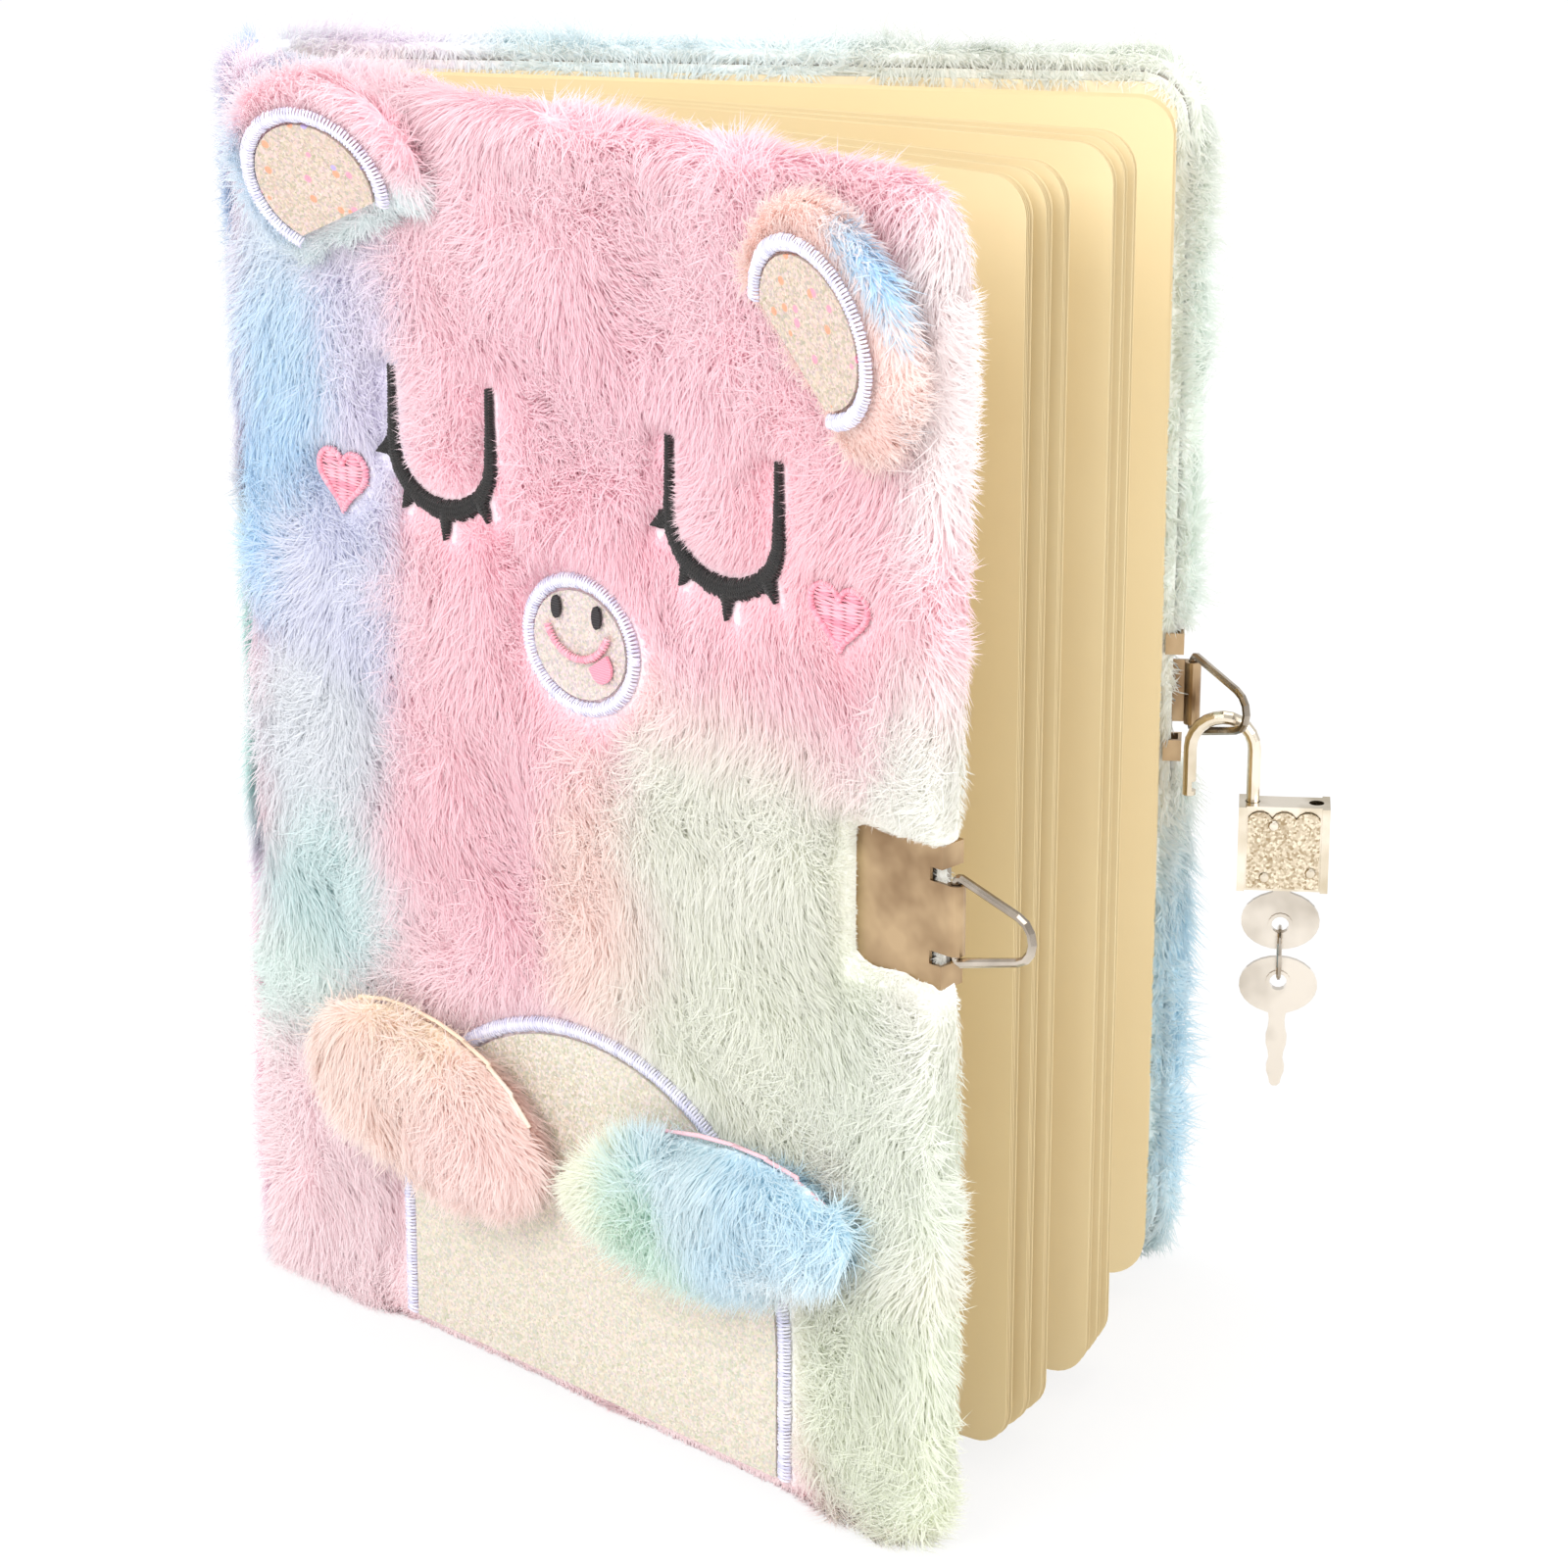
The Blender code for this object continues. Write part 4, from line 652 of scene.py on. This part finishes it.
def plush(side, body, ground, spots, place, trimmed, sewn, comb, bands, amount, crop,
          width=0.00027, where=None):
    """The cloth of one side of the cover, and its pile in bands from foot to top. Amount is the
    number of fibres in a square metre. Where is the frame of a cover that goes over a board."""
    skin_mesh = soft_skin(f"{side}_skin", f"{side}_plush")
    if where is not None:
        turned_in(skin_mesh, side, where)
    backing = backing_finish(f"dyed knitted backing, {side}", ground, spots, place)
    skin_mesh.materials.append(backing)
    skin = plain_object(f"{side}_skin", skin_mesh)
    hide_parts(f"{side}_plush")
    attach(skin, body)
    carrier = pile_carrier(skin_mesh, trimmed)
    finish = pile_finish(f"tie-dyed plush pile, {side}", ground, spots)
    for k in range(bands):
        grown = made_by(pile, f"{side}_pile_{k + 1}", carrier, {
            "Fibre": fibre_piece, "Seed": 21 + k, "Fibres per square metre": amount, "Up": up,
            "From": cover_height * k / bands if k else -1.0,
            "To": cover_height * (k + 1) / bands if k < bands - 1 else 1.0, "Sewn on": sewn,
            "Comb": tuple(comb), "Origin": place[0], "Across": place[1], "Finish": finish,
            "Cropped within": crop, "Fibre width": width})
        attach(grown, body)


sewn_front = joined("sewn_on_front", [
    "left_eye", "right_eye", "left_heart", "right_heart", "nose_stitching", "nose_patch",
    "belly_patch", "belly_stitching", "front_hasp"], [hasp_place(cover_frame)])
sewn_back = joined("fixed_on_back", ["back_hasp"], [hasp_place(back_frame)])
plush("front", "front_cover", "FDCDD8", front_spots, front_place,
      cover_trim(cover_frame, 0.65, 0.35), sewn_front,
      Vector((0, 0, -0.62)) + 0.18 * Vector(across_front), 6, 8.0e6, 0.008,
      width=0.00022, where=cover_frame)
plush("back", "back", "E2ECEA", back_spots, back_place, cover_trim(back_frame, 0.6, 0.4),
      sewn_back, Vector((0.3, 0.1, -0.4)), 3, 4.5e6, 0.0015, where=back_frame)
plush("spine", "back", "E9DAEC", spine_spots, spine_place,
      lambda spot, normal: max(0.0, min(1.0, -normal.x * 1.4)), sewn_back,
      Vector((-0.1, 0, -0.6)), 1, 6.0e6, 0.003)


# Ears
# Two flaps of the same plush, lightly stuffed and sewn to the cover along their root. The
# patch and its border are sewn on their front.
def stuffed(name, node, material, seam_at, shrink=0.0016, most=0.0012):
    """The stuffed form of a flap, over which the pile grows. Its solid is drawn in by the pile's
    depth and blown up by a cloth simulation, held at the seam where it is sewn to the cover. The
    simulation works on a form ten times the size, at which the cloth behaves as it should. Most
    is how far a point may move."""
    large = 10.0
    frames = 20
    seam_reach = 0.008
    mesh = soft_skin(name, node, 0.0015, 3)
    start = np.array([vertex.co - vertex.normal * shrink for vertex in mesh.vertices])
    moved = start.copy()
    mesh.vertices.foreach_set("co", (start * large).ravel())
    pad = plain_object(name + "_pad", mesh.copy())
    seam = pad.vertex_groups.new(name="seam")
    seam.add([k for k, spot in enumerate(start)
              if (Vector(spot) - seam_at).length < seam_reach], 1.0, "REPLACE")
    cloth = pad.modifiers.new("stuffing", "CLOTH")
    cloth.settings.vertex_group_mass = "seam"
    cloth.settings.use_pressure = True
    cloth.settings.uniform_pressure_force = 4.0
    cloth.settings.effector_weights.gravity = 0.0
    cloth.point_cache.frame_end = frames
    for moment in range(1, frames + 1):
        scene.frame_set(moment)
    graph = bpy.context.evaluated_depsgraph_get()
    blown = pad.evaluated_get(graph).to_mesh()
    swollen = np.empty(3 * len(blown.vertices))
    blown.vertices.foreach_get("co", swollen)
    pad.evaluated_get(graph).to_mesh_clear()
    step = swollen.reshape(-1, 3) / large - start
    reach = np.linalg.norm(step, axis=1, keepdims=True)
    moved = start + step * np.minimum(1.0, most / np.maximum(reach, 1e-9))
    bpy.data.objects.remove(pad)
    scene.frame_set(1)
    mesh.vertices.foreach_set("co", moved.ravel())
    mesh.update()
    mesh.materials.append(material)
    made = plain_object(name, mesh)
    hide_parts(node)
    return made


def flap_frame(joint, patch):
    """The frame of an ear: the seam along X, out of the cover along -Y, its tip along +Z."""
    largest = max(frame["nodes"][patch].data.polygons, key=lambda face: face.area)
    out = largest.normal if largest.normal.dot(out_front) > 0 else -largest.normal
    seam = Vector(joints[joint]["axis"]).normalized()
    return Vector(joints[joint]["pos_m"]), seam, out, seam.cross(-out)


def furred(name, body, place, ground, spots, comb, length, sewn, slot_name, crop):
    """A stuffed flap with its pile. Crop is how far from its trimmings the pile is cut short."""
    skin = stuffed(name + "_skin", name,
                   backing_finish(f"dyed knitted backing, {name}", ground, spots, place),
                   Vector(place[0]))
    hair = made_by(pile, name + "_pile", pile_carrier(skin.data, lambda spot, normal: 1.0), {
        "Fibre": fibre_piece, "Seed": 50 + len(name), "Fibres per square metre": 8.5e6,
        "Sewn on": sewn, "Comb": tuple(comb), "Fibre length": length, "Cropped within": crop,
        "Tuft size": 0.005, "Origin": place[0], "Across": place[1], "Up": place[2],
        "Finish": pile_finish(f"tie-dyed plush pile, {name}", ground, spots)})
    for piece in (skin, hair):
        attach(piece, body)


sewn_ears = []
for side, body, ground, slot_name, spots in (
        ("left", "left_ear_flap", "FDD6DE", "pink_plush",
         ((-20, 16, 14, 26, "D3E3F2"), (4, 0, 34, 9, "E4F0F0"), (8, 30, 22, 16, "FDD3DC"),
          (21, 16, 7, 16, "FCCBD6"))),
        ("right", "right_ear_flap", "FDDCD3", "peach_plush",
         ((-8, 16, 20, 20, "FDDAD0"), (-2, 2, 26, 8, "FDE0D6"), (4, 34, 34, 8, "98D0F6"),
          (27, 22, 8, 18, "B0DCF5")))):
    seam_at, seam, out, tip = flap_frame(f"{side}_ear_fold", f"{side}_ear_patch")
    sewn_ears.append(joined(f"sewn_on_{side}_ear",
                            [f"{side}_ear_patch", f"{side}_ear_stitching"]))
    furred(f"{side}_ear", body, (tuple(seam_at), tuple(seam), tuple(tip)), ground, spots,
           tip * 0.5 + Vector((0, 0, -0.5)), 0.0065, sewn_ears[-1], slot_name, 0.006)


# Arms
# Two long stuffed arms of plush, each sewn to the cover at its outer end and lying over the
# belly. The left one is peach, the right one blue with a mint tip. Along the top of each runs
# the bare fold of its seam.
def top_welt(name, node, radius=0.0004, steps=28):
    """The folded seam along the upper edge of an arm, as a fine cord on the ridge of its solid."""
    turn = cover_frame.inverted()
    spots = [turn @ vertex.co for vertex in frame["nodes"][node].data.vertices]
    low = min(spot.x for spot in spots)
    wide = (max(spot.x for spot in spots) - low) / steps
    ridge = []
    for k in range(2, steps - 2):
        near = [spot for spot in spots if abs(spot.x - low - wide * (k + 0.5)) < wide * 1.5]
        if near:
            ridge.append(max(near, key=lambda spot: spot.z))
    curve = bpy.data.curves.new(name, "CURVE")
    curve.dimensions = "3D"
    curve.bevel_depth = radius
    curve.bevel_resolution = 2
    curve.use_fill_caps = True
    spline = curve.splines.new("POLY")
    spline.points.add(len(ridge) - 1)
    for k, (point, spot) in enumerate(zip(spline.points, ridge)):
        sunk = 0.0020 + 0.0025 * (2 * k / (len(ridge) - 1) - 1) ** 4
        point.co = (*(cover_frame @ Vector((spot.x, spot.y, spot.z - sunk))), 1)
    return plain_object(name, smoothed(evaluated(plain_object(name + "_path", curve), name)))


welt_blush = ((82, 60, 20, 20, "FADCC8"),)
for side, body, ground, slot_name, sweep, welt_colour, spots in (
        ("left", "left_arm_flap", "FDE0D4", "peach_plush", 0.25, "E9BE93",
         ((18, 0, 24, 12, "FDE0D4"), (44, -10, 20, 14, "FDDAD3"), (8, 8, 18, 12, "FDE3D6"),
          (28, 12, 30, 6, "FBE6C9"))),
        ("right", "right_arm_flap", "C6E3EF", "blue_plush", -0.15, "EE9FAE",
         ((-20, -4, 26, 16, "BFE1F1"), (-46, -12, 14, 14, "CDEAD9"), (-60, -4, 12, 16, "F1F4DA"),
          (-36, 2, 12, 12, "CFE7EE"), (-8, -14, 16, 10, "E6EEF2")))):
    seam_at = Vector(joints[f"{side}_arm_lift"]["pos_m"])
    welt = top_welt(f"{side}_arm_welt", f"{side}_arm")
    welt.data.materials.append(backing_finish(f"folded seam, {side} arm", welt_colour, welt_blush,
                                              front_place))
    furred(f"{side}_arm", body, (tuple(seam_at), across_front, up), ground, spots,
           cover_frame.to_3x3() @ Vector((sweep, 0, -0.8)), 0.0078, welt, slot_name, 0.003)
    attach(welt, body)


# Glitter patches
# Cloth covered in fine glitter and sealed: champagne on the ears and the nose, cream on the
# belly. Each grain of 0.4 mm lies at its own angle and takes its own faint tint.
def grains_of(tree, size):
    """Grains of this size: their own random colours, and the same in channels."""
    grains = add(tree, "ShaderNodeTexVoronoi",
                 {"Vector": add(tree, "ShaderNodeTexCoord").outputs["Object"], "Scale": 1 / size})
    own = grains.outputs["Color"]
    return grains, own, add(tree, "ShaderNodeSeparateColor", {0: own}).outputs


def glitter_finish(name, light, dark, fleck_share, grain=0.0004, fleck_size=1 / 420):
    """Glitter, with larger round flecks in three tints. Fleck share is how much of the cloth's
    cells have one."""
    made, tree, shader = finish_named(name)
    _, own, cell = grains_of(tree, grain)
    colour = mixed(tree, 0.10, mixed(tree, cell[0], linear(dark), linear(light)), own)
    confetti, _, picked = grains_of(tree, fleck_size)
    shown = number(tree, "MULTIPLY",
                   number(tree, "LESS_THAN", confetti.outputs["Distance"], 0.30),
                   number(tree, "LESS_THAN", picked[0], fleck_share))
    for tint, part in (("F2A07E", 0.0), ("F59BB0", 0.5), ("B9A7D8", 0.85)):
        amount = number(tree, "MULTIPLY", number(tree, "GREATER_THAN", picked[1], part), shown)
        colour = mixed(tree, amount, colour, linear(tint))
    tipped = vector(tree, "SCALE", vector(tree, "SUBTRACT", own, (0.5, 0.5, 0.5)), 0.55)
    bent = vector(tree, "ADD", add(tree, "ShaderNodeNewGeometry").outputs["Normal"], tipped)
    wire(tree, shader, {"Base Color": colour, "Normal": vector(tree, "NORMALIZE", bent),
                        "Roughness": ranged(tree, cell[1], 0.18, 0.6), "Specular IOR Level": 0.6})
    return made


give(glitter_finish("champagne glitter cloth, ears", "E0CCBC", "BDA694", 0.45),
     "left_ear_patch", "right_ear_patch")
give(glitter_finish("champagne glitter cloth, nose", "E2D2CA", "C4B3AC", 0.0), "nose_patch")
give(glitter_finish("cream glitter cloth, belly", "E3DAC9", "CCC2B0", 0.0), "belly_patch")


# Satin stitching
# Rayon thread, sewn side by side across each border, eye and mouth, so that it stands up as a
# glossy cord. The borders are lavender white, the eyes black, the mouth and the hearts pink.
def thread_finish(name, light, dark, shine=0.38):
    """Rayon thread: each stitch has its own depth of colour and a silky gloss along it."""
    made, tree, shader = finish_named(name)
    stitch = add(tree, "ShaderNodeAttribute", attribute_name="stitch").outputs["Fac"]
    wire(tree, shader, {"Base Color": mixed(tree, stitch, linear(dark), linear(light)),
                        "Roughness": shine, "Sheen Weight": 0.2})
    return made


def strand():
    """One stitch: a thread that goes over in a low arch, one unit long, wide and high."""
    form = bmesh.new()
    rings = []
    for k in range(7):
        y = -0.5 + k / 6
        top = (1 - abs(2 * y) ** 3) * 0.8
        wide = 0.5 if 0 < k < 6 else 0.3
        ring = []
        for s in range(5):
            angle = 2 * math.pi * s / 5 + math.pi / 2
            ring.append(form.verts.new((wide * math.cos(angle), y, top + 0.25 * math.sin(angle))))
        rings.append(ring)
    for low, high in zip(rings, rings[1:]):
        for i in range(5):
            form.faces.new((low[i], low[(i + 1) % 5], high[(i + 1) % 5], high[i]))
    form.faces.new(rings[0][::-1])
    form.faces.new(rings[-1])
    bmesh.ops.recalc_face_normals(form, faces=form.faces)
    return plain_object("stitch_strand", smoothed(mesh_from("stitch_strand", form)))


def satin_tree():
    """Geometry Nodes that lay stitches side by side across a path. The path's radius is the
    stitch's half length."""
    tree, given = new_tree("satin_stitch", (
        ("Path", "Geometry", None), ("Strand", "Object", None), ("Spacing", "Float", 0.0003),
        ("Thread", "Float", 0.00042), ("Height", "Float", 0.0008), ("Slant", "Float", 0.25),
        ("Out", "Vector", (0, -1, 0)), ("Seed", "Int", 1), ("Finish", "Material", None)),
        "Stitches")
    dotted = add(tree, "GeometryNodeCurveToPoints",
                 {"Curve": given["Path"], "Length": given["Spacing"]}, mode="LENGTH")
    slanted = add(tree, "FunctionNodeAlignRotationToVector",
                  {"Vector": dotted.outputs["Tangent"]}, axis="X")
    faced = add(tree, "FunctionNodeAlignRotationToVector",
                {"Rotation": slanted.outputs[0], "Vector": given["Out"]}, axis="Z", pivot_axis="X")
    odd = number(tree, "MODULO", add(tree, "GeometryNodeInputIndex").outputs[0], 2.0)
    sign = number(tree, "MULTIPLY_ADD", odd, 2.0, -1.0)
    leant = add(tree, "FunctionNodeAxisAngleToRotation",
                {"Axis": (0, 0, 1), "Angle": number(tree, "MULTIPLY", sign, given["Slant"])})
    turned = add(tree, "FunctionNodeRotateRotation", {0: faced.outputs[0], 1: leant.outputs[0]},
                 rotation_space="LOCAL")
    wide = number(tree, "MULTIPLY", named(tree, "radius", "FLOAT"), 2.0)
    wide = number(tree, "MULTIPLY", wide, chance(tree, given["Seed"], 0.86, 1.14))
    tinted = marked(tree, dotted.outputs["Points"], "stitch", chance(tree, 9), "FLOAT")
    sewn = add(tree, "GeometryNodeInstanceOnPoints",
               {"Points": tinted, "Instance": form_of(tree, given["Strand"]),
                "Rotation": turned.outputs[0],
                "Scale": combined(tree, given["Thread"], wide, given["Height"])})
    real = add(tree, "GeometryNodeRealizeInstances", {0: sewn.outputs[0]})
    dressed = add(tree, "GeometryNodeSetMaterial",
                  {"Geometry": real.outputs[0], "Material": given["Finish"]})
    add(tree, "NodeGroupOutput", {0: dressed.outputs[0]})
    return tree


strand_piece = strand()
satin = satin_tree()
white_rayon = thread_finish("lavender white rayon thread", "F6F4FF", "D3D2EC")
black_rayon = thread_finish("black rayon thread", "17120F", "070506", 0.6)
pink_rayon = thread_finish("pink rayon thread", "FBB9C6", "EC8CA2")


def stitched(name, paths, out, material, spacing=0.0003, height=0.0008, slant=0.22,
             thread=0.00042):
    """Satin stitching along each path: a list of places with the stitch's length at each."""
    curve = bpy.data.curves.new(name + "_path", "CURVE")
    curve.dimensions = "3D"
    for points in paths:
        spline = curve.splines.new("POLY")
        spline.points.add(len(points) - 1)
        for point, (spot, length) in zip(spline.points, points):
            point.co = (*spot, 1)
            point.radius = length / 2
    return made_by(satin, name, curve, {
        "Strand": strand_piece, "Spacing": spacing, "Height": height, "Slant": slant,
        "Thread": thread, "Out": tuple(out), "Seed": len(name), "Finish": material})


def on_cover(u, z, proud=0.0004):
    """A place on the front cover's face."""
    return cover_frame @ Vector((u, -proud, z))


face_middle = 0.0820
eye_spacing = 0.0636
eye_half_width = 0.0116
eye_top, eye_bend, eye_foot = 0.1685, 0.1570, 0.1478
eye_side = 0.28
eye_steps = 40
lashes = ((188, 0.0034), (232, 0.0038), (273, 0.0050), (318, 0.0040))


def eye_arc(angle):
    """A place on the round part of the eye's line."""
    return (eye_half_width * math.cos(angle),
            eye_bend + (eye_bend - eye_foot) * math.sin(angle))


def eye_paths(middle):
    """The line of a closed eye from end to end, thicker below, and its four lashes."""
    line = []
    for k in range(eye_steps + 1):
        share = k / eye_steps
        if share < eye_side:
            x, z = -eye_half_width, eye_top + (eye_bend - eye_top) * share / eye_side
        elif share > 1 - eye_side:
            x = eye_half_width
            z = eye_bend + (eye_top - eye_bend) * (share - 1 + eye_side) / eye_side
        else:
            x, z = eye_arc(math.pi * (1 + (share - eye_side) / (1 - 2 * eye_side)))
        bow = 0.0009 * math.sin(math.pi * share)
        wide = 0.0015 + 0.0020 * math.sin(math.pi * share) ** 2
        line.append((on_cover(middle + x, z - bow), wide))
    paths = [line]
    for degrees, length in lashes:
        angle = math.radians(degrees)
        root = Vector(eye_arc(angle))
        away = Vector((0.8 * math.cos(angle), math.sin(angle) - 0.25)).normalized()
        lash = []
        for k in range(7):
            share = k / 6
            spot = root + away * (0.0006 + length * share)
            lash.append((on_cover(middle + spot.x, spot.y), 0.0032 * (1 - share) ** 0.8 + 0.0005))
        paths.append(lash)
    return paths


for side, sign in (("left", -1), ("right", 1)):
    eye_stitches = stitched(f"{side}_eye_stitches", eye_paths(face_middle + sign * eye_spacing / 2),
                            out_front, black_rayon, spacing=0.00024, height=0.0009, slant=0.3)
    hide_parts(f"{side}_eye")
    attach(eye_stitches, "front_cover")


def arc_path(centre, half_width, half_height, start, end, width, steps, make):
    """Stitches of one width along an arc of an ellipse, from one angle to another."""
    path = []
    for k in range(steps + 1):
        angle = math.radians(start + (end - start) * k / steps)
        path.append((make(centre[0] + half_width * math.cos(angle),
                          centre[1] + half_height * math.sin(angle)), width))
    return path


nose_middle, nose_half_width, nose_half_height, nose_stitch = 0.1312, 0.0120, 0.0103, 0.0024
nose_border = stitched("nose_border", [arc_path(
    (face_middle, nose_middle), nose_half_width, nose_half_height, 0, 360, nose_stitch, 60,
    on_cover)], out_front, white_rayon, height=0.0009)
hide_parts("nose_stitching")

belly_half_width, belly_foot, belly_straight, belly_top = 0.0445, 0.0030, 0.026, 0.066
belly_stitch = 0.0026
belly_line = [(on_cover(face_middle - belly_half_width,
                        belly_foot + (belly_straight - belly_foot) * k / 10), belly_stitch)
              for k in range(11)]
belly_line += arc_path((face_middle, belly_straight), belly_half_width,
                       belly_top - belly_straight, 180, 0, belly_stitch, 60, on_cover)
belly_line += [(on_cover(face_middle + belly_half_width,
                         belly_straight + (belly_foot - belly_straight) * k / 10), belly_stitch)
               for k in range(11)]
belly_border = stitched("belly_border", [belly_line], out_front, white_rayon, height=0.0009)
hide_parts("belly_stitching")

smile_middle, smile_radius, smile_stitch, on_patch = 0.1365, 0.0074, 0.0013, 0.0012
smile_line = arc_path((face_middle, smile_middle), smile_radius, smile_radius, 205, 338,
                      smile_stitch, 30, lambda u, z: on_cover(u, z, on_patch))
smile_stitches = stitched("smile_stitches", [smile_line], out_front, pink_rayon, height=0.0006)
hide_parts("smile")
for piece, slot_name in ((nose_border, "white_satin_thread"),
                         (belly_border, "white_satin_thread"),
                         (smile_stitches, "pink_satin_thread")):
    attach(piece, "front_cover")

ear_half_width, ear_half_length, ear_chord = 0.0220, 0.020, 0.012
patch_scale, ear_margin, ear_stitch = 0.62, 0.0013, 0.0025
for side, body in (("left", "left_ear_flap"), ("right", "right_ear_flap")):
    seam_at, seam, out, tip = flap_frame(f"{side}_ear_fold", f"{side}_ear_patch")
    patch = frame["nodes"][f"{side}_ear_patch"].data
    border = frame["nodes"][f"{side}_ear_stitching"].data
    depth = max((vertex.co - seam_at).dot(out) for vertex in patch.vertices)
    high = max((vertex.co - seam_at).dot(tip) for vertex in border.vertices)
    start = math.degrees(math.asin(-ear_chord / ear_half_length))
    middle = high - ear_margin - patch_scale * ear_half_length
    ear_line = arc_path((0, middle), patch_scale * ear_half_width, patch_scale * ear_half_length,
                        start, 180 - start, ear_stitch, 60,
                        lambda x, z: seam_at + seam * x + tip * z + out * (depth - 0.0004))
    ear_border = stitched(f"{side}_ear_border", [ear_line], out, white_rayon, height=0.0009)
    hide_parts(f"{side}_ear_stitching")
    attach(ear_border, body)


# Nostrils and tongue
# Small spots filled with the same rayon thread, black for the nostrils and pink for the tongue,
# sewn on the nose patch.
def filled_finish(name, light, dark):
    """Rayon thread laid to and fro over a small spot, in rows 0.4 mm apart. Each row is painted darker in the
    groove between rows, as painted shade, and lighter on its crest, following the same ridges as the bump.
    """
    made, tree, shader = finish_named(name)
    rows = add(tree, "ShaderNodeTexWave",
               {"Vector": add(tree, "ShaderNodeTexCoord").outputs["Object"], "Scale": 785.0,
                "Distortion": 1.5}, bands_direction="Z").outputs[1]
    # The colour follows the rows' height: painted shade darkens the grooves between rows, and the crests are
    # lighter.
    wire(tree, shader, {"Base Color": mixed(tree, rows, linear(dark), linear(light)),
                        "Normal": bumped(tree, rows, 0.5, 0.0002), "Roughness": 0.45})
    return made


give(filled_finish("black rayon thread, nostrils", "2C262A", "0E0B0D"),
     "left_nostril", "right_nostril")
give(filled_finish("pink rayon thread, tongue", "FBA9BA", "F08FA6"), "tongue")


# Hearts
# A heart on each cheek, filled with pink satin stitch that runs across it, and edged.
heart_spacing, heart_middle, heart_width, heart_height = 0.112, 0.148, 0.0116, 0.0110


def heart_paths(middle):
    """Rows of stitches across a heart, in one column below and one up each lobe, and its edge."""
    outline = []
    for k in range(72):
        t = 2 * math.pi * k / 72
        x = math.sin(t) ** 3
        z = (13 * math.cos(t) - 5 * math.cos(2 * t) - 2 * math.cos(3 * t) - math.cos(4 * t)) / 16
        outline.append((heart_width / 2 * x, heart_height / 2 * z))
    edge = [(on_cover(middle + x, heart_middle + z, 0.0006), 0.0010)
            for x, z in outline + outline[:1]]
    low, high = min(z for x, z in outline), max(z for x, z in outline)
    column, lobes = [], ([], [])
    for k in range(1, 40):
        z = low + (high - low) * k / 40
        crossings = sorted(x + (xx - x) * (z - at) / (to - at)
                           for (x, at), (xx, to) in zip(outline, outline[1:] + outline[:1])
                           if (at - z) * (to - z) < 0)
        rows = [((a + b) / 2, b - a) for a, b in zip(crossings[::2], crossings[1::2])]
        for path, (x, length) in zip(lobes if len(rows) == 2 else (column,), rows):
            path.append((on_cover(middle + x, heart_middle + z, 0.0004), length))
    return [edge, column, *lobes]


for side, sign in (("left", -1), ("right", 1)):
    heart_stitches = stitched(f"{side}_heart_stitches",
                              heart_paths(face_middle + sign * heart_spacing / 2), out_front,
                              pink_rayon, spacing=0.00026, height=0.0007, slant=0.1)
    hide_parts(f"{side}_heart")
    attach(heart_stitches, "front_cover")


# Hasps, wire loops, padlock and keys
# Stamped and bent steel, nickel plated in a warm champagne tone. The hasp's sheet is lightly
# hammered, the wire is bright, and the padlock's panel is pebbled between smooth rails.
def plated(name, light, dark, rough, ripple, ripple_size, painted_reflection_cloud_size=0.006):
    """Nickel plate: soft clouds of painted reflection, lighter and darker in its colour, with its roughness
    varying along with them, and small dents of a stated size.
    """
    made, tree, shader = finish_named(name)
    where = add(tree, "ShaderNodeTexCoord").outputs["Object"]
    # These clouds paint reflections into the plate's colour, between its light and dark tones, and also vary its
    # roughness.
    clouds = noise(tree, where, 1 / painted_reflection_cloud_size, 3.0)
    painted_reflection_share = ranged(tree, clouds, 0.0, 1.0, 0.36, 0.62)
    dents = noise(tree, where, 1 / ripple_size, 1.0)
    wire(tree, shader, {"Base Color": mixed(tree, painted_reflection_share, linear(dark), linear(light)),
                        "Roughness": ranged(tree, clouds, rough * 0.7, rough * 1.3),
                        "Normal": bumped(tree, dents, ripple, 0.0003), "Metallic": 1.0})
    return made


def pebbled(name, light, dark, grain=0.0004):
    """A pressed panel covered in grains that each lie at their own angle and catch the light."""
    made, tree, shader = finish_named(name)
    _, _, cell = grains_of(tree, grain)
    wire(tree, shader, {"Base Color": mixed(tree, cell[0], linear(dark), linear(light)),
                        "Normal": bumped(tree, cell[1], 0.7, 0.0002),
                        "Metallic": 1.0, "Roughness": 0.3})
    return made


give(plated("hammered nickel sheet", "B99F7D", "846A4F", 0.3, 0.35, 0.003, 0.012),
     "front_hasp", "back_hasp")
give(plated("bright drawn steel wire", "C4BAAD", "93897D", 0.2, 0.05, 0.004, 0.012),
     "front_loop", "back_loop", "key_ring")
give(plated("champagne nickel plating", "E9DFCF", "C3B69E", 0.2, 0.08, 0.004, 0.010),
     "padlock_case", "shackle", "padlock_rivet_1", "padlock_rivet_2", "padlock_rivet_3")
give(plated("bright nickel plating, keys", "DDD5CA", "B4AB9F", 0.22, 0.08, 0.004, 0.012),
     "key_1", "key_2")
give(pebbled("pebbled champagne panel", "F2E6D0", "A48F70"),
     "padlock_front_panel", "padlock_back_panel")
give(plated("dark spring steel", "8E8C88", "5C5A56", 0.35, 0.05, 0.002),
     "padlock_plug", "latch", "spring_seat", "shackle_spring")

for helper in (strand_piece, fibre_piece, sewn_front, sewn_back, *sewn_ears):
    bpy.data.objects.remove(helper)
